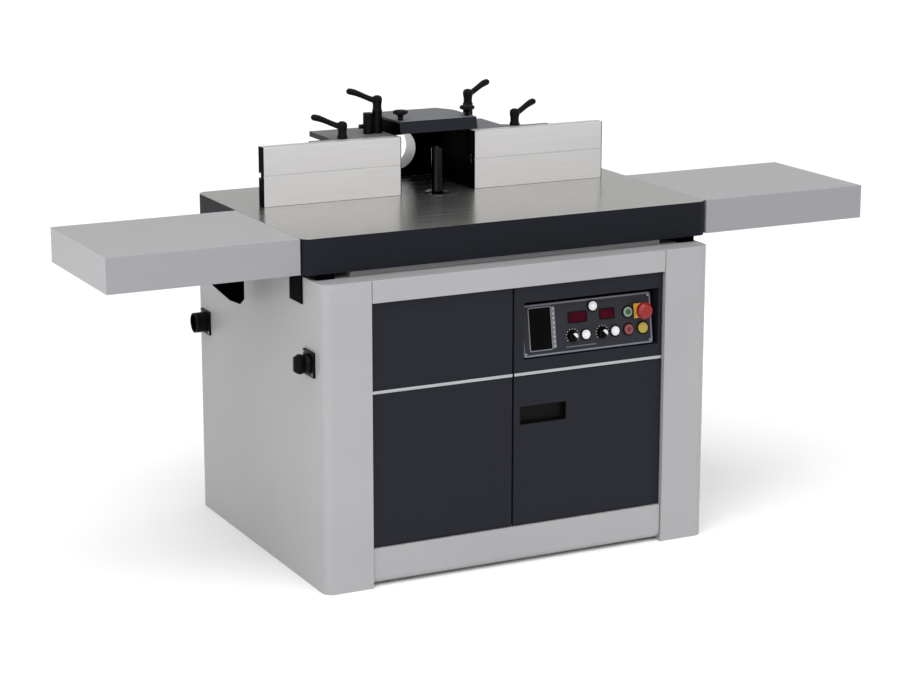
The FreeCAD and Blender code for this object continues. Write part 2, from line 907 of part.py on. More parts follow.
def push_buttons():
    bezels = []

    def bezel(name, across, up, radius):
        inner = f"{radius} + fit_gap"
        outer = f"{inner} + bezel_wall"
        bezels.append(ring(f"{name}_bezel", inner, outer, "0", "bezel_stand", (across, up, "0")))

    for name, (across, up, radius) in BUTTONS.items():
        bezel(name, across, up, radius)
        cap = rod(f"{name}_cap", radius, "button_tail + button_stand", (across, up, "-button_tail"))
        on_plate(name, cap)
    for name, across in SELECTORS.items():
        bezel(name, across, "control_row", "selector_radius")
    on_plate("switch_bezels", *bezels)


def selectors():
    for name, across in SELECTORS.items():
        knob = turned(
            f"{name}_knob",
            [
                ("0", "-button_tail"),
                ("selector_stem_radius", "-button_tail"),
                ("selector_stem_radius", "fit_gap"),
                ("selector_radius", "fit_gap"),
                ("selector_radius", "selector_stand"),
                ("0", "selector_stand"),
            ],
            (across, "control_row", "0"),
        )
        pointer = slab(
            f"{name}_pointer",
            (f"{across} - pointer_width / 2", f"{across} + pointer_width / 2"),
            ("control_row - selector_radius + bezel_wall", "control_row + selector_radius"),
            ("selector_stand - pointer_stand", "selector_stand + pointer_stand"),
        )
        round_limit = rod(
            f"{name}_limit", "selector_radius", "2 * selector_stand", (across, "control_row", "0")
        )
        grip = doc.addObject("Part::Common", f"{name}_grip")
        grip.Base = pointer
        grip.Tool = round_limit
        on_plate(name, fuse(f"{name}_whole", knob, grip))


def emergency_stop():
    half = "estop_plate / 2"
    square = slab(
        "estop_square",
        (f"estop_across - {half}", f"estop_across + {half}"),
        (f"display_row - {half}", f"display_row + {half}"),
        ("0", "estop_plate_sheet"),
    )
    hole = rod(
        "estop_square_hole",
        "estop_stem_radius + fit_gap",
        "estop_plate_sheet + 2 * cut_overrun",
        ("estop_across", "display_row", "-cut_overrun"),
    )
    on_plate("estop_base", cut("estop_square_open", square, hole))
    head = turned(
        "estop_mushroom",
        [
            ("0", "-button_tail"),
            ("estop_stem_radius", "-button_tail"),
            ("estop_stem_radius", "estop_neck"),
            ("estop_head_radius", "estop_neck"),
            ("estop_head_radius", "estop_edge"),
            ("estop_crown_radius", "estop_stand"),
            ("0", "estop_stand"),
        ],
        ("estop_across", "display_row", "0"),
    )
    on_plate("estop_head", head)


# Fittings on the left wall

def main_switch():
    wall = f"-{SIDE}"
    middle_y = f"({FRONT} + switch_back)"
    half = "switch_plate / 2"
    plate = slab(
        "switch_square",
        (f"{wall} - switch_plate_sheet", wall),
        (f"{middle_y} - {half}", f"{middle_y} + {half}"),
        (f"switch_lift - {half}", f"switch_lift + {half}"),
    )
    face = f"({wall} - switch_plate_sheet)"
    bore_place = (f"{face} - cut_overrun", middle_y, "switch_lift")
    bore_length = "cut_overrun + switch_stem_length + fit_gap"
    bore = rod("switch_bore", "switch_stem_radius + fit_gap", bore_length, bore_place, "x")
    node("main_switch_plate", cut("main_switch_plate", plate, bore))
    outer = f"({face} - fit_gap - switch_hub_length)"
    hub = rod("switch_hub", "switch_hub_radius", "switch_hub_length", (outer, middle_y, "switch_lift"), "x")
    stem_place = (f"{face} - fit_gap", middle_y, "switch_lift")
    stem = rod("switch_stem", "switch_stem_radius", "fit_gap + switch_stem_length", stem_place, "x")
    grip = slab(
        "switch_grip",
        (f"{outer} - switch_grip_length", outer),
        (f"{middle_y} - switch_grip_width / 2", f"{middle_y} + switch_grip_width / 2"),
        ("switch_lift - switch_hub_radius", "switch_lift + switch_hub_radius"),
    )
    node("main_switch_knob", fuse("main_switch_knob", hub, stem, grip))


def power_inlet():
    wall = f"-{SIDE}"
    middle_y = f"({BACK} - inlet_inset)"
    half = "inlet_plate / 2"
    plate = slab(
        "inlet_square",
        (f"{wall} - inlet_plate_sheet", wall),
        (f"{middle_y} - {half}", f"{middle_y} + {half}"),
        (f"inlet_lift - {half}", f"inlet_lift + {half}"),
    )
    start = f"({wall} - inlet_plate_sheet - inlet_shroud_length)"
    place = (start, middle_y, "inlet_lift")
    shroud = rod("inlet_shroud", "inlet_shroud_radius", "inlet_shroud_length", place, "x")
    hollow = rod(
        "inlet_hollow",
        "inlet_shroud_radius - inlet_shroud_wall",
        "inlet_shroud_length + cut_overrun",
        (f"{start} - cut_overrun", middle_y, "inlet_lift"),
        "x",
    )
    tube = cut("inlet_tube", shroud, hollow)
    pins = []
    for number in range(INLET_PINS):
        turn = 2 * math.pi * number / INLET_PINS
        across_share = math.cos(turn)
        up_share = math.sin(turn)
        pins.append(
            rod(
                f"inlet_pin_{number}",
                "inlet_pin_radius",
                "inlet_pin_length",
                (
                    f"{wall} - inlet_plate_sheet - inlet_pin_length",
                    f"{middle_y} + inlet_pin_circle * {across_share:.6f}",
                    f"inlet_lift + inlet_pin_circle * {up_share:.6f}",
                ),
                "x",
            )
        )
    node("power_inlet", fuse("power_inlet", plate, tube, *pins))


# Table

def worktable():
    outer = slab(
        "table_block", (f"-{TABLE_SIDE}", TABLE_SIDE), (TABLE_FRONT, TABLE_BACK), (TABLE_BOTTOM, TABLE_TOP)
    )
    outer = rounded("table_corners", outer, size("table_corner"), upright)
    hollow = slab(
        "table_hollow",
        (f"-{TABLE_SIDE} + table_skirt", f"{TABLE_SIDE} - table_skirt"),
        (f"{TABLE_FRONT} + table_skirt", f"{TABLE_BACK} - table_skirt"),
        (f"{TABLE_BOTTOM} - cut_overrun", TABLE_UNDER),
    )
    shell = cut("table_shell", outer, hollow)
    ribs = []
    for word, side in SIDES.items():
        for kind, out in RIB_PLACES.items():
            middle = f"{side} * {out}"
            ribs.append(
                slab(
                    f"{kind}_{word}",
                    (f"{middle} - {kind}_width / 2", f"{middle} + {kind}_width / 2"),
                    (f"{TABLE_FRONT} + table_skirt", f"{TABLE_BACK} - table_skirt"),
                    (TABLE_BOTTOM, TABLE_UNDER),
                )
            )
    whole = fuse("table_casting", shell, *ribs)
    seat = rod(
        "insert_seat",
        "insert_radius + fit_gap",
        "insert_thickness + cut_overrun",
        ("0", SPINDLE_Y, f"{TABLE_TOP} - insert_thickness"),
    )
    throat = rod(
        "insert_throat",
        "insert_radius - insert_ledge",
        "table_plate + 2 * cut_overrun",
        ("0", SPINDLE_Y, f"{TABLE_UNDER} - cut_overrun"),
    )
    tools = [seat, throat]
    for word, side in SIDES.items():
        tools += clamp_slot(word, side)
        across = on_side(side, f"{TABLE_SIDE} - table_skirt - cut_overrun", f"{TABLE_SIDE} + cut_overrun")
        tools += [
            rod(
                f"dowel_bore_{word}_{end}",
                "dowel_radius + fit_gap",
                "table_skirt + 2 * cut_overrun",
                (across[0], f"{EXTENSION_FRONT} + {inset}", DOWEL_Z),
                "x",
            )
            for end, inset in DOWELS.items()
        ]
    node("worktable", cut("worktable", whole, *tools))
    node(
        "insert_ring",
        ring("insert_ring", "insert_bore_radius", "insert_radius", "0", "insert_thickness",
             ("0", SPINDLE_Y, f"{TABLE_TOP} - insert_thickness")),
    )


def clamp_slot(word, side):
    """Slot through the table that a fence stud runs in, with round ends."""
    middle = f"{side} * pillar_out"
    half = "(stud_radius + stud_play)"
    front = f"({PILLAR_Y} - fence_forward)"
    back = f"({PILLAR_Y} + fence_backward)"
    low = f"{TABLE_UNDER} - cut_overrun"
    high = f"{TABLE_TOP} + cut_overrun"
    across = (f"{middle} - {half}", f"{middle} + {half}")
    straight = slab(f"slot_{word}", across, (front, back), (low, high))
    ends = [
        rod(f"slot_{word}_{end}", half, "table_plate + 2 * cut_overrun", (middle, place, low))
        for end, place in (("front", front), ("back", back))
    ]
    return [straight, *ends]


def table_supports():
    pads = []
    for word, side in SIDES.items():
        middle = f"{side} * {BEARING_OUT}"
        starts = {
            "front": f"({TABLE_FRONT} + support_inset)",
            "back": f"({TABLE_BACK} - support_inset - support_length)",
        }
        for end, start in starts.items():
            pads.append(
                slab(
                    f"support_{word}_{end}",
                    (f"{middle} - support_width / 2", f"{middle} + support_width / 2"),
                    (start, f"{start} + support_length"),
                    (TOP, TABLE_BOTTOM),
                )
            )
    node("table_supports", bundle("table_supports", *pads))


# Table extensions

def extension(word, side):
    """Chambered light section with closed ends and two dowels into the table's edge."""
    outer = slab(
        f"{word}_section",
        on_side(side, EXTENSION_START, EXTENSION_END),
        (EXTENSION_FRONT, EXTENSION_BACK),
        (EXTENSION_BOTTOM, TABLE_TOP),
    )
    pitch = f"((extension_depth - extension_wall) / {EXTENSION_CHAMBERS})"
    chambers = [
        slab(
            f"{word}_chamber_{number}",
            on_side(side, f"{EXTENSION_START} + extension_wall", f"{EXTENSION_END} - extension_wall"),
            (
                f"{EXTENSION_FRONT} + extension_wall + {number} * {pitch}",
                f"{EXTENSION_FRONT} + ({number} + 1) * {pitch}",
            ),
            (f"{EXTENSION_BOTTOM} + extension_wall", f"{TABLE_TOP} - extension_wall"),
        )
        for number in range(EXTENSION_CHAMBERS)
    ]
    section = cut(f"{word}_hollow_section", outer, *chambers)
    across = on_side(side, f"{EXTENSION_START} - dowel_length", EXTENSION_START)
    dowels = [
        rod(
            f"{word}_dowel_{end}",
            "dowel_radius",
            "dowel_length",
            (across[0], f"{EXTENSION_FRONT} + {inset}", DOWEL_Z),
            "x",
        )
        for end, inset in DOWELS.items()
    ]
    node(f"{word}_extension", fuse(f"{word}_extension", section, *dowels))


def extension_brackets():
    """Gusset under the back of each extension and a blank cover plate on each wall."""
    pieces = []
    for word, side in SIDES.items():
        under_table = f"({TABLE_BOTTOM} - fit_gap)"
        under_extension = f"({EXTENSION_BOTTOM} - fit_gap)"
        corners = [
            (SIDE, f"{under_table} - bracket_root"),
            (f"{SIDE} + bracket_offset", f"{under_table} - bracket_root"),
            (f"{SIDE} + bracket_offset", f"{under_table} - bracket_drop + bracket_chamfer"),
            (f"{SIDE} + bracket_offset + bracket_chamfer", f"{under_table} - bracket_drop"),
            (f"{SIDE} + bracket_toe", f"{under_table} - bracket_drop + bracket_chamfer"),
            (f"{SIDE} + bracket_reach", f"{under_table} - bracket_nose"),
            (f"{SIDE} + bracket_reach", under_extension),
            (f"{SIDE} + bracket_step", under_extension),
            (f"{SIDE} + bracket_step", under_table),
            (SIDE, under_table),
        ]
        points = [(f"{side} * ({across})", up) for across, up in corners]
        place = ("0", f"{EXTENSION_BACK} - bracket_inset", "0")
        pieces.append(prism(f"{word}_gusset", "XZ", points, "bracket_sheet", place))
        pieces.append(
            slab(
                f"{word}_cover",
                on_side(side, SIDE, f"{SIDE} + cover_sheet"),
                (f"{FRONT} + cover_front", f"{FRONT} + cover_front + cover_width"),
                ("cover_lift", f"{TABLE_BOTTOM} - fit_gap"),
            )
        )
    node("extension_brackets", bundle("extension_brackets", *pieces))


# Lift and drive under the table

def guide_bracket():
    half = "bracket_half_width"
    front = f"({SPINDLE_Y} + bracket_front)"
    back = f"({SPINDLE_Y} + bracket_back)"
    flange_z = (f"{TABLE_UNDER} - bracket_plate", TABLE_UNDER)
    flange = slab("guide_flange", (f"-{half}", half), (front, back), flange_z)
    wall = slab(
        "guide_wall",
        (f"-{half}", half),
        (back, f"{back} + bracket_plate"),
        ("bracket_foot_lift", TABLE_UNDER),
    )
    foot_top = "(bracket_foot_lift + bracket_plate)"
    foot = slab("guide_foot", (f"-{half}", half), (front, back), ("bracket_foot_lift", foot_top))
    columns = [
        rod(
            f"guide_column_{word}",
            "column_radius",
            f"{TABLE_UNDER} - bracket_plate - {foot_top}",
            (f"{side} * column_spread", COLUMN_Y, foot_top),
        )
        for word, side in SIDES.items()
    ]
    node("guide_bracket", fuse("guide_bracket", flange, wall, foot, *columns))


def lift_actuator():
    """Electric lifting cylinder that stands on the guide's foot, with its rod."""
    foot_top = "(bracket_foot_lift + bracket_plate)"
    barrel = rod("lift_barrel", "barrel_radius", f"barrel_top - {foot_top}", ("0", COLUMN_Y, foot_top))
    bore_start = f"({foot_top} + barrel_floor)"
    bore = rod(
        "lift_bore",
        "rod_radius + fit_gap",
        f"barrel_top - {bore_start} + cut_overrun",
        ("0", COLUMN_Y, bore_start),
    )
    drive_place = ("0", COLUMN_Y, "bracket_foot_lift - lift_motor_length")
    drive = rod("lift_drive", "lift_motor_radius", "lift_motor_length", drive_place)
    node("lift_actuator", bundle("lift_actuator", cut("lift_tube", barrel, bore), drive))
    rod_length = "carriage_foot_lift - barrel_top + rod_grip"
    node("lift_rod", rod("lift_rod", "rod_radius", rod_length, ("0", COLUMN_Y, "barrel_top - rod_grip")))


def height_carriage():
    half = "carriage_half_width"
    block_front = f"({SPINDLE_Y} + carriage_block_front)"
    block_back = f"({SPINDLE_Y} + carriage_block_back)"
    carriage_top = "(carriage_foot_lift + carriage_height)"
    foot = slab(
        "carriage_plate",
        (f"-{half}", half),
        (f"{MOTOR_Y} - motor_foot_reach", block_back),
        ("carriage_foot_lift", FOOT_TOP),
    )
    block = slab("carriage_block", (f"-{half}", half), (block_front, block_back), (FOOT_TOP, carriage_top))
    collar_place = ("0", SPINDLE_Y, FOOT_TOP)
    collar = rod("carriage_ring", "carriage_ring_radius", f"{carriage_top} - {FOOT_TOP}", collar_place)
    web = slab(
        "carriage_web",
        ("-carriage_web_half", "carriage_web_half"),
        (SPINDLE_Y, block_front),
        (FOOT_TOP, carriage_top),
    )
    tall = "carriage_height + 2 * cut_overrun"
    below = "carriage_foot_lift - cut_overrun"
    through_foot = "carriage_foot + 2 * cut_overrun"
    bores = [
        rod("housing_seat", "housing_radius", tall, ("0", SPINDLE_Y, below)),
        rod("motor_seat", "motor_shaft_radius + fit_gap", through_foot, ("0", MOTOR_Y, below)),
    ]
    for word, side in SIDES.items():
        place = (f"{side} * column_spread", COLUMN_Y, below)
        bores.append(rod(f"column_bush_{word}", "column_radius + running_fit", tall, place))
    casting = fuse("carriage_casting", foot, block, collar, web)
    node("height_carriage", cut("height_carriage", casting, *bores))


HOUSING_TOP = "(table_height - housing_top_drop)"
HOUSING_BOTTOM = f"({HOUSING_TOP} - housing_length)"


def spindle_unit():
    top_seat = "(housing_length - bearing_top_inset - bearing_width)"
    low_seat = "(bearing_low_inset + bearing_width)"
    node(
        "spindle_housing",
        turned(
            "spindle_housing",
            [
                ("bearing_radius", "0"),
                ("housing_radius", "0"),
                ("housing_radius", "housing_length"),
                ("bearing_radius", "housing_length"),
                ("bearing_radius", top_seat),
                ("housing_bore", top_seat),
                ("housing_bore", low_seat),
                ("bearing_radius", low_seat),
            ],
            ("0", SPINDLE_Y, HOUSING_BOTTOM),
        ),
    )
    bearings = [
        ring(
            f"bearing_{word}",
            "shaft_radius + running_fit",
            "bearing_radius",
            start,
            f"{start} + bearing_width",
            ("0", SPINDLE_Y, HOUSING_BOTTOM),
        )
        for word, start in (("low", "bearing_low_inset"), ("high", top_seat))
    ]
    node("spindle_bearings", bundle("spindle_bearings", *bearings))
    shoulder = "(table_height - arbor_shoulder)"
    tip = "(table_height + arbor_stand)"
    tail_end = f"(pulley_lift + pulley_step * {PULLEY_STEPS})"
    shaft = turned(
        "shaft_body",
        [
            ("0", "pulley_lift"),
            ("shaft_tail_radius", "pulley_lift"),
            ("shaft_tail_radius", tail_end),
            ("shaft_radius", tail_end),
            ("shaft_radius", f"{shoulder} - collar_length"),
            ("collar_radius", f"{shoulder} - collar_length"),
            ("collar_radius", shoulder),
            ("arbor_radius", shoulder),
            ("arbor_radius", f"{tip} - arbor_chamfer"),
            ("arbor_radius - arbor_chamfer", tip),
            ("0", tip),
        ],
        ("0", SPINDLE_Y, "0"),
    )
    thread = rod(
        "arbor_thread",
        "arbor_thread_radius",
        "arbor_thread_depth + cut_overrun",
        ("0", SPINDLE_Y, f"{tip} - arbor_thread_depth"),
    )
    node("spindle_shaft", cut("spindle_shaft", shaft, thread))


def step_outline(bore, first, change):
    """Half outline of a pulley whose steps grow or shrink by one change, from the bottom up."""
    points = [(bore, "0")]
    for number in range(PULLEY_STEPS):
        radius = f"{first} + ({change}) * {number}"
        points.append((radius, f"pulley_step * {number}"))
        points.append((radius, f"pulley_step * {number + 1}"))
    points.append((bore, f"pulley_step * {PULLEY_STEPS}"))
    return points


def drive_train():
    node(
        "spindle_pulley",
        turned(
            "spindle_pulley",
            step_outline("shaft_tail_radius", "pulley_large", "-pulley_fall"),
            ("0", SPINDLE_Y, "pulley_lift"),
        ),
    )
    steps = turned(
        "motor_pulley_steps",
        step_outline("0", "motor_pulley_small", "pulley_fall"),
        ("0", MOTOR_Y, "pulley_lift"),
    )
    shaft_start = f"(pulley_lift + pulley_step * {PULLEY_STEPS})"
    shaft = rod(
        "motor_shaft",
        "motor_shaft_radius",
        f"{FOOT_TOP} + motor_shaft_grip - {shaft_start}",
        ("0", MOTOR_Y, shaft_start),
    )
    node("motor_pulley", fuse("motor_pulley", steps, shaft))
    drive_belt()
    motor()


def drive_belt():
    """Flat belt round one step of both pulleys, as arcs and tangents."""
    spindle_y = size("fence_setback") - size("cabinet_depth") / 2 + size("spindle_offset")
    motor_y = spindle_y - size("motor_spacing")
    spindle_rim = size("pulley_large") - BELT_STEP * size("pulley_fall") + size("fit_gap")
    motor_rim = size("motor_pulley_small") + BELT_STEP * size("pulley_fall") + size("fit_gap")

    def loop(extra):
        spindle_radius = spindle_rim + extra
        motor_radius = motor_rim + extra
        lean = (spindle_radius - motor_radius) / size("motor_spacing")
        level = math.sqrt(1 - lean ** 2)
        spindle_middle = FreeCAD.Vector(0, spindle_y, 0)
        motor_middle = FreeCAD.Vector(0, motor_y, 0)
        normals = [FreeCAD.Vector(side * level, -lean, 0) for side in (-1, 1)]
        on_spindle = [spindle_middle + normal * spindle_radius for normal in normals]
        on_motor = [motor_middle + normal * motor_radius for normal in normals]
        behind = spindle_middle + FreeCAD.Vector(0, spindle_radius, 0)
        ahead = motor_middle - FreeCAD.Vector(0, motor_radius, 0)
        edges = [
            Part.Arc(on_spindle[0], behind, on_spindle[1]).toShape(),
            Part.makeLine(on_spindle[1], on_motor[1]),
            Part.Arc(on_motor[1], ahead, on_motor[0]).toShape(),
            Part.makeLine(on_motor[0], on_spindle[0]),
        ]
        return Part.Face(Part.Wire(edges))

    band = loop(size("belt_thickness")).cut(loop(0))
    belt = doc.addObject("Part::Feature", "drive_belt")
    belt.Shape = band.extrude(FreeCAD.Vector(0, 0, size("belt_width")))
    side_margin = "(pulley_step - belt_width) / 2"
    put(belt, ("0", "0", f"pulley_lift + pulley_step * {BELT_STEP} + {side_margin}"), ABOUT_AXIS["z"])
    node("drive_belt", belt)


def motor():
    drum = rod("motor_drum", "motor_radius", "motor_length", ("0", MOTOR_Y, FOOT_TOP))
    fins = []
    for number in range(MOTOR_FINS):
        fin = doc.addObject("Part::Box", f"motor_fin_{number}")
        bind(fin, "Length", "motor_radius + motor_fin")
        bind(fin, "Width", "motor_fin_width")
        bind(fin, "Height", "motor_length - 2 * motor_fin_inset")
        turn = FreeCAD.Rotation(FreeCAD.Vector(0, 0, 1), FULL_TURN * number / MOTOR_FINS)
        fins.append(put(fin, ("0", MOTOR_Y, f"{FOOT_TOP} + motor_fin_inset"), turn))
    terminal = slab(
        "terminal_box",
        ("motor_radius - motor_fin", "motor_radius + terminal_depth"),
        (f"{MOTOR_Y} - terminal_width / 2", f"{MOTOR_Y} + terminal_width / 2"),
        (f"{FOOT_TOP} + terminal_lift", f"{FOOT_TOP} + terminal_lift + terminal_height"),
    )
    bore = rod(
        "motor_bore",
        "motor_shaft_radius + fit_gap",
        "motor_shaft_grip + 2 * cut_overrun",
        ("0", MOTOR_Y, f"{FOOT_TOP} - cut_overrun"),
    )
    node("motor_body", cut("motor_body", fuse("motor_casting", drum, terminal, *fins), bore))


# Fence

def fence_plate(word, side):
    """Light alloy plate with a rule line on its face and a T slot in its back."""
    start = "plate_gap / 2"
    end = "plate_gap / 2 + fence_length"
    long = on_side(side, f"{start} - cut_overrun", f"{end} + cut_overrun")
    blank = slab(
        f"{word}_plate_blank", on_side(side, start, end), (FENCE_Y, FENCE_BACK), (FENCE_BOTTOM, FENCE_TOP)
    )
    rule = slab(
        f"{word}_plate_rule",
        long,
        (f"{FENCE_Y} - cut_overrun", f"{FENCE_Y} + fence_rule_depth"),
        (f"{SLOT_Z} - fence_rule_width / 2", f"{SLOT_Z} + fence_rule_width / 2"),
    )
    neck = slab(
        f"{word}_plate_neck",
        long,
        (f"{FENCE_BACK} - slot_depth", f"{FENCE_BACK} + cut_overrun"),
        (f"{SLOT_Z} - slot_neck / 2", f"{SLOT_Z} + slot_neck / 2"),
    )
    head = slab(
        f"{word}_plate_head",
        long,
        (f"{FENCE_BACK} - slot_depth", f"{FENCE_BACK} - slot_depth + slot_head_depth"),
        (f"{SLOT_Z} - slot_head / 2", f"{SLOT_Z} + slot_head / 2"),
    )
    node(f"{word}_fence_plate", cut(f"{word}_fence_plate", blank, rule, neck, head))


def fence_carriers():
    """Castings behind the plates, open to the back and the outer end, each with a T rail for its plate."""
    carriers = []
    for word, side in SIDES.items():
        inner = "hood_half_width"
        outer = "hood_half_width + carrier_length"
        points = [
            (f"{side} * ({inner})", CARRIER_FRONT),
            (f"{side} * ({outer})", CARRIER_FRONT),
            (f"{side} * ({outer})", f"{CARRIER_FRONT} + carrier_tip_depth"),
            (f"{side} * ({inner} + {word}_carrier_tail)", f"{CARRIER_FRONT} + carrier_tip_depth"),
            (f"{side} * ({inner} + {word}_carrier_shoulder)", f"{CARRIER_FRONT} + carrier_root_depth"),
            (f"{side} * ({inner} + {word}_carrier_shoulder)", f"{CARRIER_FRONT} + carrier_depth"),
            (f"{side} * ({inner})", f"{CARRIER_FRONT} + carrier_depth"),
        ]
        block = prism(
            f"{word}_carrier_block", "XY", points, f"{FENCE_TOP} - {FENCE_BOTTOM}", ("0", "0", FENCE_BOTTOM)
        )
        hollow = slab(
            f"{word}_carrier_hollow",
            on_side(side, f"{inner} + carrier_wall", f"{outer} + cut_overrun"),
            (f"{CARRIER_FRONT} + carrier_wall", f"{CARRIER_FRONT} + carrier_depth + cut_overrun"),
            (f"{FENCE_BOTTOM} + carrier_wall", f"{FENCE_TOP} - carrier_wall"),
        )
        stud_bore = rod(
            f"{word}_carrier_bore",
            "stud_radius",
            "fence_height + 2 * cut_overrun",
            (f"{side} * pillar_out", PILLAR_Y, f"{FENCE_BOTTOM} - cut_overrun"),
        )
        casting = cut(f"{word}_carrier_casting", block, hollow, stud_bore)
        along = on_side(side, inner, outer)
        rail_face = f"({FENCE_BACK} - slot_depth + fit_gap)"
        rail_neck = slab(
            f"{word}_rail_neck",
            along,
            (rail_face, CARRIER_FRONT),
            (f"{SLOT_Z} - slot_neck / 2 + fit_gap", f"{SLOT_Z} + slot_neck / 2 - fit_gap"),
        )
        rail_head = slab(
            f"{word}_rail_head",
            along,
            (rail_face, f"{FENCE_BACK} - slot_depth + slot_head_depth - fit_gap"),
            (f"{SLOT_Z} - slot_head / 2 + fit_gap", f"{SLOT_Z} + slot_head / 2 - fit_gap"),
        )
        carriers.append(fuse(f"{word}_carrier", casting, rail_neck, rail_head))
    node("fence_carriers", bundle("fence_carriers", *carriers))


def fence_hood():
    """Chip chamber between the carriers, open in front and below, with lips under the roof and an outlet."""
    front = f"({FENCE_BACK} + hood_front_gap)"
    back = f"({front} + hood_depth)"
    roof = "(table_height + hood_roof_lift)"
    back_top = "(table_height + hood_back_lift)"

    def profile(wall, lead):
        return [
            (f"{front} - {lead}", f"{FENCE_BOTTOM} - {lead}"),
            (f"{back} - {wall}", f"{FENCE_BOTTOM} - {lead}"),
            (f"{back} - {wall}", f"{back_top} - {wall} / 2"),
            (f"{back} - hood_slope - {wall} / 2", f"{roof} - {wall}"),
            (f"{front} - {lead}", f"{roof} - {wall}"),
        ]

    outer = prism(
        "hood_outer", "YZ", profile("0", "0"), "2 * hood_half_width", ("-hood_half_width", "0", "0")
    )
    inner = prism(
        "hood_inner",
        "YZ",
        profile("hood_wall", "cut_overrun"),
        "2 * (hood_half_width - hood_wall)",
        ("-hood_half_width + hood_wall", "0", "0"),
    )
    chamber = cut("hood_chamber", outer, inner)
    lips = [
        slab(
            f"{word}_hood_lip",
            on_side(side, "hood_half_width - hood_lip_width", "hood_half_width"),
            (f"{front} - hood_lip_lead", f"{front} + hood_lip_lap"),
            (FENCE_TOP, roof),
        )
        for word, side in SIDES.items()
    ]
    port_z = "(table_height + port_lift)"
    spigot = rod("hood_spigot", "port_radius", "port_length", ("0", back, port_z), "y")
    bore = rod(
        "hood_port",
        "port_radius - port_wall",
        "port_length + hood_wall + 2 * cut_overrun",
        ("0", f"{back} - hood_wall - cut_overrun", port_z),
        "y",
    )
    node("fence_hood", cut("fence_hood", fuse("hood_body", chamber, spigot, *lips), bore))


def hood_roof():
    """Cover plate with cut back corners, a leaning visor along its front and the studs of its knobs."""
    front = f"({FENCE_Y} - roof_overhang)"
    back = f"({front} + roof_depth)"
    low = "(table_height + hood_roof_lift)"
    points = [
        ("-roof_half_width", front),
        ("roof_half_width", front),
        ("roof_half_width", f"{back} - roof_chamfer_depth"),
        ("roof_half_width - roof_chamfer_width", back),
        ("-roof_half_width + roof_chamfer_width", back),
        ("-roof_half_width", f"{back} - roof_chamfer_depth"),
    ]
    plate = prism("roof_plate", "XY", points, "roof_sheet", ("0", "0", low))
    lip = [
        (front, ROOF_TOP),
        (f"{front} - visor_slant", f"{ROOF_TOP} - visor_drop"),
        (f"{front} - visor_slant + visor_sheet", f"{ROOF_TOP} - visor_drop"),
        (f"{front} + visor_sheet", f"{ROOF_TOP} - roof_sheet"),
        (f"{front} + visor_sheet", ROOF_TOP),
    ]
    visor = prism("roof_visor", "YZ", lip, "2 * roof_half_width", ("-roof_half_width", "0", "0"))
    studs = []
    for word, side in SIDES.items():
        place = (f"{side} * knob_out", KNOB_Y, ROOF_TOP)
        studs.append(rod(f"{word}_knob_stud", "knob_stud_radius", "knob_stud_height", place))
    node("hood_roof", fuse("hood_roof", plate, visor, *studs))


def adjuster(middle):
    """Adjusting drum beside the left post, with its stop screw and the web that carries both."""
    drum_x = f"({middle} - drum_offset)"
    drum = rod("adjusting_drum", "drum_radius", "pillar_height", (drum_x, PILLAR_Y, FENCE_TOP))
    web = slab(
        "drum_web",
        (drum_x, middle),
        (f"{PILLAR_Y} - drum_web / 2", f"{PILLAR_Y} + drum_web / 2"),
        (FENCE_TOP, f"{PILLAR_TOP} - drum_web_drop"),
    )
    screw = rod(
        "stop_screw",
        "stop_screw_radius",
        "drum_radius + stop_screw_length",
        (f"{drum_x} - drum_radius - stop_screw_length", PILLAR_Y, f"{FENCE_TOP} + stop_screw_lift"),
        "x",
    )
    return [drum, web, screw]


def clamp_pillars():
    """Round posts under the inner levers, the left one with the adjusting drum beside it."""
    pillars = []
    for word, side in SIDES.items():
        middle = f"({side} * pillar_out)"
        post = rod(f"{word}_post", "pillar_radius", "pillar_height", (middle, PILLAR_Y, FENCE_TOP))
        body = post if side > 0 else fuse("left_pillar_body", post, *adjuster(middle))
        bore = rod(
            f"{word}_pillar_bore",
            "stud_radius",
            "pillar_height + 2 * cut_overrun",
            (middle, PILLAR_Y, f"{FENCE_TOP} - cut_overrun"),
        )
        pillars.append(cut(f"{word}_pillar", body, bore))
    node("clamp_pillars", bundle("clamp_pillars", *pillars))


def fence_studs():
    """Long clamping studs with T nuts under the table, and the short studs of the outer levers."""
    studs = []
    reach = "(lever_bore_depth - cut_overrun)"
    for word, side in SIDES.items():
        middle = f"{side} * pillar_out"
        nut_top = f"({TABLE_UNDER} - fit_gap)"
        nut_low = f"({nut_top} - tee_nut_thickness)"
        shank_length = f"{PILLAR_TOP} + {reach} - {nut_low}"
        shank = rod(f"{word}_long_stud", "stud_radius", shank_length, (middle, PILLAR_Y, nut_low))
        nut = slab(
            f"{word}_tee_nut",
            (f"{middle} - tee_nut / 2", f"{middle} + tee_nut / 2"),
            (f"{PILLAR_Y} - tee_nut / 2", f"{PILLAR_Y} + tee_nut / 2"),
            (nut_low, nut_top),
        )
        studs.append(fuse(f"{word}_long_stud_nut", shank, nut))
        short_place = (f"{side} * lever_out", LEVER_Y, FENCE_TOP)
        studs.append(rod(f"{word}_short_stud", "stud_radius", reach, short_place))
    node("fence_studs", bundle("fence_studs", *studs))


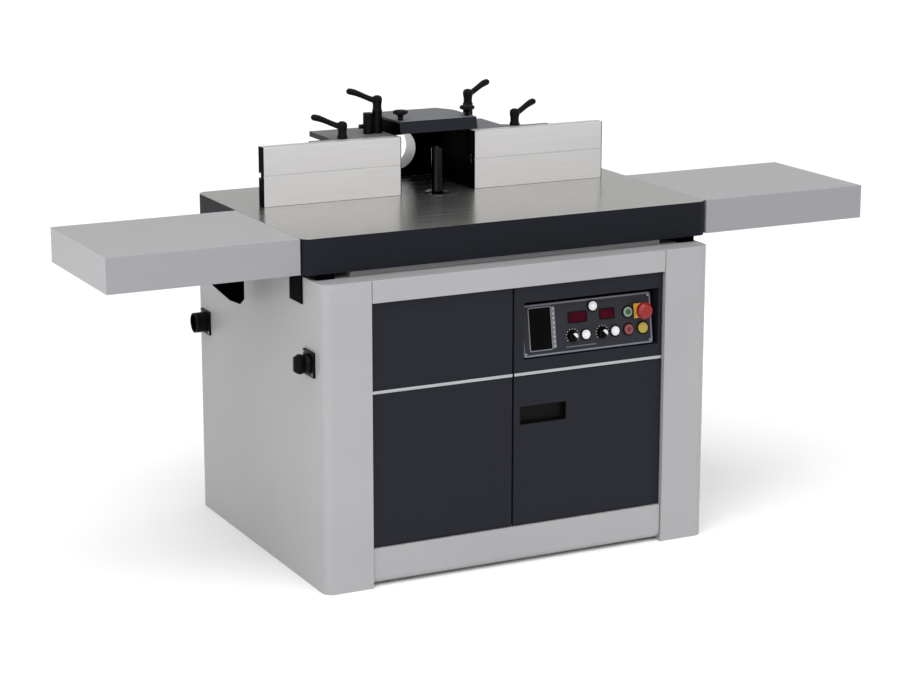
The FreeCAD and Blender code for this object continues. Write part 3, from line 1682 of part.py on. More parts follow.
def clamp_lever(label, side, out, back, low):
    """Adjustable clamping lever: a bored hub with a rising arm that ends in a ball."""
    hub = rod(f"{label}_hub", "lever_hub_radius", "lever_hub_height", ("0", "0", "0"))
    arm = doc.addObject("Part::Cone", f"{label}_arm")
    bind(arm, "Radius1", "lever_root_radius")
    bind(arm, "Radius2", "lever_tip_radius")
    bind(arm, "Height", "sqrt(lever_reach ^ 2 + lever_climb ^ 2)")
    rise = math.degrees(math.atan2(size("lever_climb"), size("lever_reach")))
    arm_start = "lever_hub_height - lever_root_radius"
    put(arm, ("0", "0", arm_start), FreeCAD.Rotation(FreeCAD.Vector(0, 1, 0), RIGHT_ANGLE - rise))
    ball = doc.addObject("Part::Sphere", f"{label}_ball")
    bind(ball, "Radius", "lever_end_radius")
    put(ball, ("lever_reach", "0", f"{arm_start} + lever_climb"))
    bore_length = "lever_bore_depth + cut_overrun"
    bore = rod(f"{label}_bore", "stud_radius + running_fit", bore_length, ("0", "0", "-cut_overrun"))
    whole = cut(f"{label}_whole", fuse(f"{label}_body", hub, arm, ball), bore)
    group = bundle(label, whole)
    sweep = LEVER_SWEEP_DEGREES if side > 0 else 2 * RIGHT_ANGLE - LEVER_SWEEP_DEGREES
    turn = FreeCAD.Rotation(FreeCAD.Vector(0, 0, 1), sweep)
    put(group, (f"{side} * {out}", back, f"{low} + fit_gap"), turn)
    node(label, group)


def roof_knob(word, side):
    head = turned(
        f"{word}_roof_knob_head",
        [
            ("knob_stud_radius + running_fit", "fit_gap"),
            ("knob_stem_radius", "fit_gap"),
            ("knob_stem_radius", "knob_stem"),
            ("knob_radius", "knob_stem"),
            ("knob_radius", "knob_stem + knob_rim"),
            ("knob_crown_radius", "knob_stem + knob_rim + knob_crown"),
            ("0", "knob_stem + knob_rim + knob_crown"),
            ("0", "knob_stud_height + fit_gap"),
            ("knob_stud_radius + running_fit", "knob_stud_height + fit_gap"),
        ],
        (f"{side} * knob_out", KNOB_Y, ROOF_TOP),
    )
    node(f"{word}_roof_knob", head)


def build():
    base_frame()
    for word, side in SIDES.items():
        side_panel(word, side)
    back_panel()
    top_deck()
    front_frame()
    kick_panel()
    left_front_panel()
    trim_strips()
    control_fascia()
    electrics_box()
    door()
    control_plate()
    panel_displays()
    push_buttons()
    selectors()
    emergency_stop()
    main_switch()
    power_inlet()
    worktable()
    table_supports()
    extension_brackets()
    guide_bracket()
    lift_actuator()
    height_carriage()
    spindle_unit()
    drive_train()
    fence_carriers()
    fence_hood()
    hood_roof()
    clamp_pillars()
    fence_studs()
    for word, side in SIDES.items():
        extension(word, side)
        fence_plate(word, side)
        clamp_lever(f"{word}_outer_lever", side, "lever_out", LEVER_Y, FENCE_TOP)
        clamp_lever(f"{word}_inner_lever", side, "pillar_out", PILLAR_Y, PILLAR_TOP)
        roof_knob(word, side)


def write_parts():
    """Checks every piece and writes each node to its own file."""
    doc.recompute()
    faults = [item.Name for item in doc.Objects if {"Invalid", "Error"} & set(item.State)]
    faults += [item.Label for item in nodes if item.Shape.isNull() or not item.Shape.isValid()]
    if faults:
        raise RuntimeError(f"faulty pieces: {sorted(set(faults))}")
    os.makedirs("parts", exist_ok=True)
    for item in nodes:
        item.Shape.exportStep(f"parts/{item.Label}.step")


build()
write_parts()
print(len(nodes), "nodes")
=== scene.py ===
import json
import math

import bmesh
import bpy
from bpy.props import FloatProperty, FloatVectorProperty, IntProperty, PointerProperty
from bpy.types import Operator, Panel, PropertyGroup
from mathutils import Matrix, Vector

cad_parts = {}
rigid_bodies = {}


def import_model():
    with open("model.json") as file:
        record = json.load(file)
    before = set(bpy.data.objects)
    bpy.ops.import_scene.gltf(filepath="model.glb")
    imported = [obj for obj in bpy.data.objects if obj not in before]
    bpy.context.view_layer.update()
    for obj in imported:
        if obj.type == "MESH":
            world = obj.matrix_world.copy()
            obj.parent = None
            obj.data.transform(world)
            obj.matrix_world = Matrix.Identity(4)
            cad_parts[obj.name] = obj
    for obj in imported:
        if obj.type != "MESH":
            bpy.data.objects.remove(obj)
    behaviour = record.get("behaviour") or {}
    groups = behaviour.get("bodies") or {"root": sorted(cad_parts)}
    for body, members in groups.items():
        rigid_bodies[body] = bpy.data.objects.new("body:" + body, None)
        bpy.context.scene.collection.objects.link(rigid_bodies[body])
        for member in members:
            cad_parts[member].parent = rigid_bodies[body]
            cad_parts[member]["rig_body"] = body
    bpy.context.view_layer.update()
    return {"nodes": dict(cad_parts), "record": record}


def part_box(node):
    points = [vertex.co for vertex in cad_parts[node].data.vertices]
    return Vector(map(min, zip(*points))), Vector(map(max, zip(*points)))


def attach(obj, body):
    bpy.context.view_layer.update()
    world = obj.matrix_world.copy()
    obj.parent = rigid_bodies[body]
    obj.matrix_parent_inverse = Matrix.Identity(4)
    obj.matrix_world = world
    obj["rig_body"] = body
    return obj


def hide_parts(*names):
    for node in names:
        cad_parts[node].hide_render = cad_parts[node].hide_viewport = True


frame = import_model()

bl_info = {
    "name": "Spindle moulder",
    "version": (1, 0, 0),
    "blender": (4, 5, 0),
    "location": "View3D > Sidebar > Spindle moulder",
    "description": "Dresses the packed spindle moulder with rounded pieces, finishes, light and a camera",
    "category": "Object",
}

BODY_OF = {name: piece["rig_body"] for name, piece in frame["nodes"].items()}
SLOT_OF = {entry["node"]: entry["material_slot"] for entry in frame["record"]["subparts"]}
MILLIMETRE = 0.001
MERGE_DISTANCE = 0.01 * MILLIMETRE
FLAT_ANGLE = math.radians(0.6)
EDGE_ANGLE = math.radians(38)
HANDS = ("left", "right")
SELECTORS = ("height_selector", "speed_selector")


def length(name, description, millimetres):
    """A length setting, given in millimetres."""
    return FloatProperty(
        name=name, description=description, default=millimetres * MILLIMETRE, min=0, precision=5,
        unit="LENGTH",
    )


def spot(name, description, place):
    """A setting for a place in metres."""
    return FloatVectorProperty(
        name=name, description=description, default=place, subtype="XYZ", unit="LENGTH"
    )


def tone(name, description, *screen_values):
    """A colour setting, given as screen values from 0 to 255 and kept in linear light."""
    shares = [value / 255 for value in screen_values]
    linear = [share / 12.92 if share <= 0.04045 else ((share + 0.055) / 1.055) ** 2.4 for share in shares]
    return FloatVectorProperty(
        name=name, description=description, default=linear, size=3, min=0, max=1, subtype="COLOR"
    )


def angle(name, description, degrees):
    """An angle setting, given in degrees."""
    return FloatProperty(name=name, description=description, default=math.radians(degrees), subtype="ANGLE")


def fraction(name, description, share):
    """A setting for a share from 0 to 1."""
    return FloatProperty(name=name, description=description, default=share, min=0, max=1, subtype="FACTOR")


def amount(name, description, number, unit="NONE"):
    """A setting for a number that isn't below zero."""
    return FloatProperty(name=name, description=description, default=number, min=0, unit=unit)


def whole(name, description, count, least):
    """A setting for a count that isn't below a least one."""
    return IntProperty(name=name, description=description, default=count, min=least)


class FinishSettings(PropertyGroup):
    """Colour of each finish."""

    light_grey_paint: tone("Light paint", "Powder coat of walls, posts and rail", 156, 156, 158)
    # Dark paint also gives the painted shade on the sides of the fence carriers and hood roof.
    dark_grey_paint: tone("Dark paint", "Powder coat of front panels and door", 25, 27, 34)
    black_paint: tone("Black paint", "Satin paint of hood and brackets", 2, 2, 3)
    # Casting paint also gives the painted light on the tops of the fence carriers and hood roof.
    grey_casting: tone("Casting paint", "Paint on the grey castings", 98, 100, 103)
    table_edge_paint: tone("Table edge", "Paint on the sides of the table", 28, 30, 35)
    control_plate_paint: tone("Control plate", "Coat of the leaning control plate", 31, 32, 39)
    line_print: tone("Line", "Printed border and frames on the panel", 104, 106, 116)
    mark_print: tone("Mark", "Printed marks on the panel", 222, 223, 228)
    studio_floor: tone("Floor", "Pale studio floor", 252, 252, 252)
    table_iron: tone("Table top", "Bare machined iron", 215, 214, 211)
    # Brushed alloy also lines the inside of the hood's outlet, where its brightness is partly painted light.
    brushed_alloy: tone("Fence alloy", "Brushed alloy of the fence plates", 201, 200, 200)
    extension_alloy: tone("Extension alloy", "Satin alloy of the extensions", 168, 168, 170)
    # Painted shade: the extensions' satin alloy made darker for their front and back faces.
    extension_edge: tone("Extension edge", "Front and back of the extensions", 143, 143, 147)
    bright_steel: tone("Steel", "Turned and ground steel", 176, 178, 182)
    silver_trim: tone("Silver trim", "Thin trim strips", 172, 174, 178)
    # Dark polished steel, made darker still as a painted reflection of the black hood round the arbor.
    dark_steel: tone("Arbor", "Dark polished steel of the spindle", 32, 32, 34)
    black_plastic: tone("Black plastic", "Handles, pull and switches", 5, 5, 6)
    white_plastic: tone("White plastic", "White push buttons", 206, 206, 206)
    red_plastic: tone("Red plastic", "Emergency head", 132, 8, 10)
    deep_red_plastic: tone("Deep red", "Middle of the stop button", 84, 22, 26)
    dull_red_plastic: tone("Dull red", "Rim of the stop button", 122, 58, 58)
    green_plastic: tone("Green plastic", "Middle of the start button", 40, 78, 52)
    grey_green_plastic: tone("Grey green", "Rim of the start button", 120, 136, 124)
    yellow_plastic: tone("Yellow plastic", "Jog button", 164, 144, 54)
    amber_plastic: tone("Amber plastic", "Emergency plate", 206, 156, 58)
    belt_rubber: tone("Rubber", "Drive belt", 26, 26, 26)
    display_window: tone("Window", "Black window of the panel", 3, 3, 3)
    red_display: tone("Display", "Red filter of the displays", 56, 3, 18)


class EdgeSettings(PropertyGroup):
    """Rounding of the edges."""

    sheet: length("Sheet edge", "Rounding of folded and cut sheet", 0.9)
    casting: length("Casting edge", "Rounding of cast edges", 2.4)
    table: length("Table edge", "Broken edge round the table", 1.6)
    alloy: length("Alloy edge", "Rounding of extruded edges", 1.2)
    plastic: length("Plastic edge", "Rounding of moulded edges", 0.7)
    steel: length("Steel edge", "Broken edges of turned steel", 0.5)
    seam: length("Seam", "Gap at the ends of the rail and the plinth", 1.6)
    recess: length("Recess", "Depth of the back panel within the edges of the walls", 1.2)
    cap: length("End cap", "Thickness of the caps on the fence plates", 2.6)
    segments: whole("Edge steps", "Faces across each rounded edge", 3, 1)


class PanelSettings(PropertyGroup):
    """Trim of the control panel."""

    border_inset: length("Border inset", "Inner edge of the border to the plate's edge", 5.4)
    border_width: length("Border width", "Width of the printed border", 4.2)
    trim_stand: length("Trim stand", "Height of printed and trim lines over the plate", 0.5)
    frame_width: length("Frame width", "Width of the frames round the windows", 2.6)
    frame_stand: length("Frame stand", "Height of the window frames", 2)
    corner: length("Frame corner", "Corner radius of the frames", 2.5)
    legend_start: length("Legend start", "Plate's left edge to the start of the printed line", 126)
    legend_end: length("Legend end", "Plate's left edge to the end of the printed line", 212)
    legend_lift: length("Legend lift", "Plate's lower edge to the printed line", 14)
    legend_width: length("Legend width", "Width of the printed line", 2)
    strip_gap: length("Strip gap", "Window to the scale strip", 4)
    strip_width: length("Strip width", "Width of the scale strip", 9)
    strip_marks: whole("Strip marks", "Marks on the scale strip", 9, 2)
    mark_length: length("Mark length", "Length of a printed mark", 5)
    mark_width: length("Mark width", "Width of a printed mark", 1.1)
    dial_gap: length("Dial gap", "Selector rim to its scale", 2.6)
    dial_sweep: angle("Dial sweep", "Sweep of the scale round a selector", 250)
    dial_marks: whole("Dial marks", "Marks round a selector", 11, 2)
    dish_share: fraction("Dish", "Share of a button's radius that is dished", 0.72)
    pointer_share: fraction("Pointer", "White half disc's share of the selector's radius", 0.62)
    pointer_turn: angle("Pointer turn", "Lean of the white half disc", -45)


class HandleSettings(PropertyGroup):
    """Clamping levers and knobs."""

    root_radius: length("Arm root", "Radius of a lever's arm at the hub", 10.2)
    waist_radius: length("Arm waist", "Radius of a lever's arm half way", 8)
    tip_radius: length("Arm tip", "Radius of the rounded grip end", 9.5)
    flat_share: fraction("Arm height", "Height of the arm's section as a share of its width", 0.9)
    arm_steps: whole("Arm steps", "Rings along a lever's arm", 14, 4)
    sides: whole("Sides", "Faces round turned handles", 40, 12)
    grip_ribs: whole("Grip ribs", "Ribs round a knob's rim", 22, 6)
    rib_depth: length("Rib depth", "Depth of the grooves round a knob's rim", 0.7)


class ScrewSettings(PropertyGroup):
    """Screw heads."""

    head_radius: length("Head radius", "Radius of a sheet screw's head", 4.5)
    head_height: length("Head height", "Height of a sheet screw's head", 2)
    small_share: fraction("Small screws", "Size of panel screws against sheet screws", 0.62)
    recess_share: fraction("Recess", "Recess radius as a share of the head", 0.52)
    sides: whole("Sides", "Faces round a head", 18, 6)
    edge_inset: length("Edge inset", "Screw to the edge of its sheet", 14)
    back_rows: whole("Back rows", "Screws down each side", 5, 2)


class StageSettings(PropertyGroup):
    """Camera, light and floor."""

    azimuth: angle("Azimuth", "Camera's angle to the right of straight ahead", -26.5038)
    elevation: angle("Elevation", "Camera's angle above the horizon", 13.7697)
    distance: length("Distance", "Camera to target", 6553.2)
    lens: amount("Lens", "Focal length in millimetres", 98.7136, "CAMERA")
    sensor: amount("Sensor", "Width of the sensor in millimetres", 36, "CAMERA")
    view_reach: length("Reach", "Farthest place shown", 100000)
    target: spot("Target", "Point that the camera looks at", (-0.0051, -0.025, 0.5119))
    floor_reach: length("Floor", "Half width of the floor", 40000)
    world: amount("World", "Strength of the even light", 0.82)
    behind: amount("Behind", "Strength of the light behind", 0.34)
    sun: amount("Sun", "Strength of the broad light", 1.5)
    sun_azimuth: angle("Sun azimuth", "Broad light's angle to the right of straight ahead", -20)
    sun_elevation: angle("Sun elevation", "Broad light's angle above the horizon", 62)
    sun_spread: angle("Sun spread", "Width of the broad light, which softens its shadows", 60)
    softbox: amount("Softbox", "Power of the light box", 20, "POWER")
    softbox_place: spot("Softbox place", "Middle of the light box", (-2.4, -2.2, 2.0))
    softbox_size: length("Softbox size", "Side of the square light box", 1200)


SETTINGS = {
    "moulder_finish": FinishSettings,
    "moulder_edges": EdgeSettings,
    "moulder_panel": PanelSettings,
    "moulder_handles": HandleSettings,
    "moulder_screws": ScrewSettings,
    "moulder_stage": StageSettings,
}


def settings(name):
    """The named group of settings."""
    return getattr(bpy.context.scene, f"moulder_{name}")


# Finishes

MADE_FINISHES = {}
PATTERN_SPAN = (0.3, 0.7)
EVEN = (1, 1, 1)
ALONG_X = (0.012, 1, 1)
ROUND_Z = (0.02, 0.02, 1)
PAINTS = {
    "light_grey_paint": dict(roughness=0.42),
    "dark_grey_paint": dict(roughness=0.46, gloss=0.15),
    "black_paint": dict(roughness=0.5, variation=0.05, gloss=0.01),
    "grey_casting": dict(roughness=0.46, variation=0.06, gloss=0.3),
    "table_edge_paint": dict(roughness=0.4, variation=0.04, gloss=0.04),
    "control_plate_paint": dict(roughness=0.4, variation=0.05, gloss=0.25),
    "mark_print": dict(roughness=0.5),
    "line_print": dict(roughness=0.5),
    "studio_floor": dict(roughness=0.7, variation=0.004),
}
SATIN = dict(roughness=(0.42, 0.54), stretch=ALONG_X, scale=500, variation=0.03, metallic=0.2, depth=0.008)
TURNED = dict(stretch=ROUND_Z, scale=900, variation=0.1, metallic=1, depth=0.01)
METALS = {
    "brushed_alloy": dict(SATIN, roughness=(0.38, 0.5), scale=700, variation=0.05, metallic=0.5, depth=0.01),
    "extension_alloy": SATIN,
    # Painted shade: darker copy of the extension alloy for the front and back faces.
    "extension_edge": SATIN,
    "silver_trim": dict(SATIN, roughness=(0.28, 0.4), scale=600, variation=0.05, metallic=0.8, depth=0.006),
    "bright_steel": dict(TURNED, roughness=(0.16, 0.3)),
    # Darkened arbor steel: partly painted reflection of the black hood round it.
    "dark_steel": dict(TURNED, roughness=(0.12, 0.2)),
}
MOULDED = dict(variation=0.05, gloss=0.5, spread=0.05, depth=0.03, scales=(60, 150, 1500))
PLASTICS = {
    "black_plastic": dict(MOULDED, roughness=0.42, depth=0.05, gloss=0.1),
    "red_plastic": dict(MOULDED, roughness=0.28),
    "green_plastic": dict(MOULDED, roughness=0.28),
    "amber_plastic": dict(MOULDED, roughness=0.35),
    "belt_rubber": dict(MOULDED, roughness=0.7, depth=0.1),
}
for colour in ("white", "deep_red", "dull_red", "grey_green", "yellow"):
    PLASTICS[f"{colour}_plastic"] = dict(MOULDED, roughness=0.3)


def added(tree, kind, inputs=None, **options):
    """A new node with its options set. An input takes a value, a socket or a node's first output."""
    made = tree.nodes.new(kind)
    for name, option in options.items():
        setattr(made, name, option)
    for name, given in (inputs or {}).items():
        if isinstance(given, bpy.types.Node):
            given = given.outputs[0]
        if isinstance(given, bpy.types.NodeSocket):
            tree.links.new(given, made.inputs[name])
        else:
            made.inputs[name].default_value = given
    return made


def blank_finish(name):
    """The empty node tree of a new material."""
    material = bpy.data.materials.new(f"{name}_finish")
    MADE_FINISHES[name] = material
    material.use_nodes = True
    material.node_tree.nodes.clear()
    return material.node_tree


def coated(tree, **inputs):
    """Ends a material with one shader."""
    sockets = {name.replace("_", " "): given for name, given in inputs.items()}
    shader = added(tree, "ShaderNodeBsdfPrincipled", sockets)
    added(tree, "ShaderNodeOutputMaterial", {"Surface": shader})


def grain(tree, stretch, scale, detail=3):
    """Noise in the piece's own coordinates, drawn out where the stretch is small."""
    place = added(tree, "ShaderNodeTexCoord").outputs["Object"]
    mapping = added(tree, "ShaderNodeMapping", {"Vector": place, "Scale": stretch})
    return added(tree, "ShaderNodeTexNoise", {"Vector": mapping, "Scale": scale, "Detail": detail})


def ranged(tree, value, low, high, span=PATTERN_SPAN):
    """Carries a value from the span, which is a pattern's own if not given, over to new limits."""
    limits = dict(zip(("From Min", "From Max", "To Min", "To Max"), (*span, low, high)))
    return added(tree, "ShaderNodeMapRange", {"Value": value, **limits})


def tinted(tree, pattern, colour, variation):
    """The colour, which wanders a little darker and lighter with a pattern."""
    ramp = added(tree, "ShaderNodeValToRGB", {"Fac": pattern})
    shares = (1 - variation, 1 + variation)
    for stop, position, share in zip(ramp.color_ramp.elements, PATTERN_SPAN, shares):
        stop.position = position
        stop.color = (*(min(1, channel * share) for channel in colour), 1)
    return ramp


def embossed(tree, pattern, depth, strength=0.5):
    """A surface raised with a pattern, by a depth in millimetres."""
    values = {"Height": pattern, "Distance": depth * MILLIMETRE, "Strength": strength}
    return added(tree, "ShaderNodeBump", values)


def skin(
    name, colour, roughness, variation=0.03, gloss=0.4, spread=0.02, depth=0.05, scales=(3, 45, 620)
):
    """Baked paint with a fine orange peel, or moulded plastic with a fine eroded grain."""
    tree = blank_finish(name)
    broad, middling, fine = scales
    coated(
        tree,
        Base_Color=tinted(tree, grain(tree, EVEN, broad), colour, variation),
        Roughness=ranged(tree, grain(tree, EVEN, middling), roughness - spread, roughness + spread),
        Normal=embossed(tree, grain(tree, EVEN, fine, detail=2), depth),
        Specular_IOR_Level=gloss,
    )


def drawn_metal(name, colour, roughness, stretch, scale, variation, metallic, depth):
    """Metal with fine marks along one direction, left by cutting, drawing or grinding."""
    tree = blank_finish(name)
    marks = grain(tree, stretch, scale, detail=5)
    broad_share = 0.3
    coated(
        tree,
        Base_Color=tinted(tree, marks, colour, variation),
        Roughness=ranged(tree, grain(tree, stretch, scale * broad_share, detail=4), *roughness),
        Normal=embossed(tree, marks, depth, strength=0.6),
        Metallic=metallic,
    )


def machined_iron(name, colour):
    """Planed iron: broad cutter passes and fine lines along the table draw reflections out across them."""
    tree = blank_finish(name)
    pass_share = 0.45
    passes = grain(tree, (ALONG_X[0] / 2, 1, 1), scale=80, detail=2)
    lines = grain(tree, ALONG_X, scale=900, detail=5)
    mixed = added(tree, "ShaderNodeMath", {0: passes, 1: pass_share, 2: lines}, operation="MULTIPLY_ADD")
    centred = added(tree, "ShaderNodeMath", {0: mixed, 1: pass_share / 2}, operation="SUBTRACT")
    coated(
        tree,
        Base_Color=tinted(tree, centred, colour, variation=0.045),
        Roughness=ranged(tree, passes, low=0.22, high=0.28),
        Normal=embossed(tree, centred, depth=0.006, strength=0.4),
        Tangent=added(tree, "ShaderNodeCombineXYZ", {"Y": 1}),
        Metallic=1,
        Anisotropic=0.6,
    )


def window_glass(name, colour):
    """Dark filter glass over a display."""
    tree = blank_finish(name)
    coated(
        tree,
        Base_Color=tinted(tree, grain(tree, (1, 1, 0.2), scale=90), colour, variation=0.35),
        Roughness=ranged(tree, grain(tree, EVEN, scale=30), low=0.12, high=0.2),
        Specular_IOR_Level=0.05,
    )


class MOULDER_OT_finishes(Operator):
    """Makes the paints, metals, plastics and glass of the machine."""

    bl_idname = "moulder.finishes"
    bl_label = "Finishes"

    def execute(self, context):
        colours = settings("finish")
        for make, kinds in ((skin, PAINTS), (skin, PLASTICS), (drawn_metal, METALS)):
            for name, values in kinds.items():
                make(name, getattr(colours, name), **values)
        machined_iron("table_iron", colours.table_iron)
        window_glass("display_window", colours.display_window)
        window_glass("red_display", colours.red_display)
        return {"FINISHED"}


# Meshes

def shown(name, data):
    """An object at the origin that shows a mesh, a light or a camera."""
    piece = bpy.data.objects.new(name, data)
    bpy.context.scene.collection.objects.link(piece)
    return piece


def settle(piece):
    """Turns what the modifiers make into the piece's own plain mesh."""
    bpy.context.view_layer.update()
    graph = bpy.context.evaluated_depsgraph_get()
    seen = piece.evaluated_get(graph)
    plain = bpy.data.meshes.new_from_object(seen, preserve_all_data_layers=True, depsgraph=graph)
    piece.modifiers.clear()
    piece.data = plain


def modified(piece, label, kind, **options):
    """Works a modifier with its options into the piece's mesh."""
    modifier = piece.modifiers.new(label, kind)
    for name, option in options.items():
        setattr(modifier, name, option)
    settle(piece)


def shade(piece):
    """Smooth shading that keeps flat faces flat and creases sharp."""
    piece.data.shade_smooth()
    piece.data.set_sharp_from_angle(angle=EDGE_ANGLE)
    modified(piece, "Flat faces", "WEIGHTED_NORMAL", keep_sharp=True, weight=100)


def corners_of(node):
    """Places of all corners of a node."""
    return [vertex.co for vertex in frame["nodes"][node].data.vertices]


def merged_copy(node):
    """The node's shape as one closed mesh with whole flat faces."""
    mesh = bpy.data.meshes.new(f"{node}_copy")
    faces = [list(face.vertices) for face in frame["nodes"][node].data.polygons]
    mesh.from_pydata([corner.copy() for corner in corners_of(node)], [], faces)
    shape = bmesh.new()
    shape.from_mesh(mesh)
    bmesh.ops.remove_doubles(shape, verts=shape.verts, dist=MERGE_DISTANCE)
    bmesh.ops.dissolve_limit(shape, angle_limit=FLAT_ANGLE, verts=shape.verts, edges=shape.edges)
    shape.to_mesh(mesh)
    shape.free()
    return mesh


def painted(piece, finishes, choose=None):
    """Gives the piece its finishes, and each face the one chosen for it."""
    piece.data.materials.clear()
    for name in finishes:
        piece.data.materials.append(MADE_FINISHES[name])
    for face in piece.data.polygons:
        face.material_index = choose(face) if choose else 0


def placed(piece, body, node=None):
    """Puts the piece on its body, and in place of a node if one is given."""
    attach(piece, body)
    if node:
        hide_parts(node)


def parted(mesh, places):
    """Divides the faces where they cross places along X, so that each side can have its own finish."""
    shape = bmesh.new()
    shape.from_mesh(mesh)
    for place in places:
        everything = [*shape.verts, *shape.edges, *shape.faces]
        bmesh.ops.bisect_plane(shape, geom=everything, plane_co=(place, 0, 0), plane_no=(1, 0, 0))
    shape.to_mesh(mesh)
    shape.free()


def drawn_in(mesh, gap, axis):
    """Shortens a sheet by a seam at both ends along an axis."""
    ends = [max(vertex.co[axis] * side for vertex in mesh.vertices) for side in (-1, 1)]
    for vertex in mesh.vertices:
        for side, end in zip((-1, 1), ends):
            if vertex.co[axis] * side > end - MERGE_DISTANCE:
                vertex.co[axis] -= side * gap


def softened(node, width, finishes=None, choose=None, parts=(), seam=0, seam_axis=0):
    """Stands in for a node with its sharp edges rounded."""
    piece = shown(f"{node}_finished", merged_copy(node))
    parted(piece.data, parts)
    drawn_in(piece.data, seam, seam_axis)
    modified(
        piece, "Rounded edges", "BEVEL", width=width, segments=settings("edges").segments,
        limit_method="ANGLE", angle_limit=EDGE_ANGLE,
    )
    shade(piece)
    painted(piece, finishes or [SLOT_OF[node]], choose)
    placed(piece, BODY_OF[node], node)


def soften_each(width, *nodes):
    """Stands in for nodes in their own finish."""
    for node in nodes:
        softened(node, width)


def built(name, shape, body, slot, finishes=None, node=None):
    """A piece from mesh code, on its body, in place of a node if one is given."""
    bmesh.ops.remove_doubles(shape, verts=shape.verts, dist=MERGE_DISTANCE)
    bmesh.ops.recalc_face_normals(shape, faces=shape.faces)
    mesh = bpy.data.meshes.new(name)
    shape.to_mesh(mesh)
    shape.free()
    piece = shown(name, mesh)
    indices = [face.material_index for face in mesh.polygons]
    shade(piece)
    painted(piece, finishes or [slot], lambda face: indices[face.index])
    placed(piece, body, node)


def built_for(node, shape, finishes=None):
    """A piece from mesh code that stands in for a node."""
    built(f"{node}_finished", shape, BODY_OF[node], SLOT_OF[node], finishes, node)


def ring(shape, loop, height, place):
    """Corners of a flat loop at a height."""
    return [shape.verts.new(place @ Vector((x, y, height))) for x, y in loop]


def round_turns(sides):
    """Angles all the way round."""
    return [2 * math.pi * number / sides for number in range(sides)]


def skinned(shape, rings, finish_index=0):
    """Faces between rings in their order, any of which may be a single point."""
    for lower, upper in zip(rings, rings[1:]):
        count = max(len(lower), len(upper))
        for number in range(count):
            after = (number + 1) % count
            corners = [lower[number % len(lower)], lower[after % len(lower)]]
            corners += [upper[after % len(upper)], upper[number % len(upper)]]
            face = shape.faces.new(list(dict.fromkeys(corners)))
            face.material_index = finish_index


def turned(shape, profile, sides, place, finish_index=0):
    """Adds a turned form: radius and height pairs from the foot to the crown, both closed at the axis."""
    rings = []
    for radius, height in profile:
        turns = round_turns(sides) if radius else [0]
        loop = [(radius * math.cos(turn), radius * math.sin(turn)) for turn in turns]
        rings.append(ring(shape, loop, height, place))
    skinned(shape, rings, finish_index)


def swept(shape, points, radii, sizes):
    """Adds a tube along points with an oval section and a rounded far end."""
    last = len(points) - 1
    cap_steps = 4
    rings = []
    for number, (point, radius) in enumerate(zip(points, radii)):
        along = (points[min(number + 1, last)] - points[max(number - 1, 0)]).normalized()
        rings.append(oval(shape, point, along, radius, sizes))
    for step in range(1, cap_steps):
        turn = math.pi / 2 * step / cap_steps
        centre = points[-1] + along * radii[-1] * math.sin(turn)
        rings.append(oval(shape, centre, along, radii[-1] * math.cos(turn), sizes))
    rings.append([shape.verts.new(points[-1] + along * radii[-1])])
    shape.faces.new(rings[0])
    skinned(shape, rings)


def oval(shape, centre, along, radius, sizes):
    """Corners of an oval section across a tube."""
    across = along.cross(Vector((0, 0, 1))).normalized() * radius
    rise = across.cross(along) * sizes.flat_share
    turns = round_turns(sizes.sides // 2)
    return [shape.verts.new(centre + across * math.cos(turn) + rise * math.sin(turn)) for turn in turns]


def rounded_loop(low, high, radius, steps=5):
    """Corner points of a flat rectangle with round corners."""
    points = []
    corners = ((high[0], high[1]), (low[0], high[1]), (low[0], low[1]), (high[0], low[1]))
    for quarter, (x, y) in enumerate(corners):
        middle_x = x - radius if x == high[0] else x + radius
        middle_y = y - radius if y == high[1] else y + radius
        for step in range(steps + 1):
            turn = math.pi / 2 * (quarter + step / steps)
            points.append((middle_x + radius * math.cos(turn), middle_y + radius * math.sin(turn)))
    return points


# Geometry Nodes

def node_tree(name, inputs):
    """A tree with named inputs and one geometry output, and the sockets of its inputs."""
    tree = bpy.data.node_groups.new(name, "GeometryNodeTree")
    for label, kind in inputs.items():
        tree.interface.new_socket(label, in_out="INPUT", socket_type=f"NodeSocket{kind}")
    tree.interface.new_socket("Geometry", in_out="OUTPUT", socket_type="NodeSocketGeometry")
    return tree, added(tree, "NodeGroupInput").outputs


def facing(tree, way, axis):
    """A turn that points an axis in a direction."""
    return added(tree, "FunctionNodeAlignRotationToVector", {"Vector": way}, axis=axis)


def repeated(tree, given, **sockets):
    """Ends a tree with a real copy on each point, in one finish."""
    copies = added(tree, "GeometryNodeInstanceOnPoints", sockets)
    real = added(tree, "GeometryNodeRealizeInstances", {"Geometry": copies})
    finished = added(tree, "GeometryNodeSetMaterial", {"Geometry": real, "Material": given["Finish"]})
    added(tree, "NodeGroupOutput", {"Geometry": finished})
    return tree


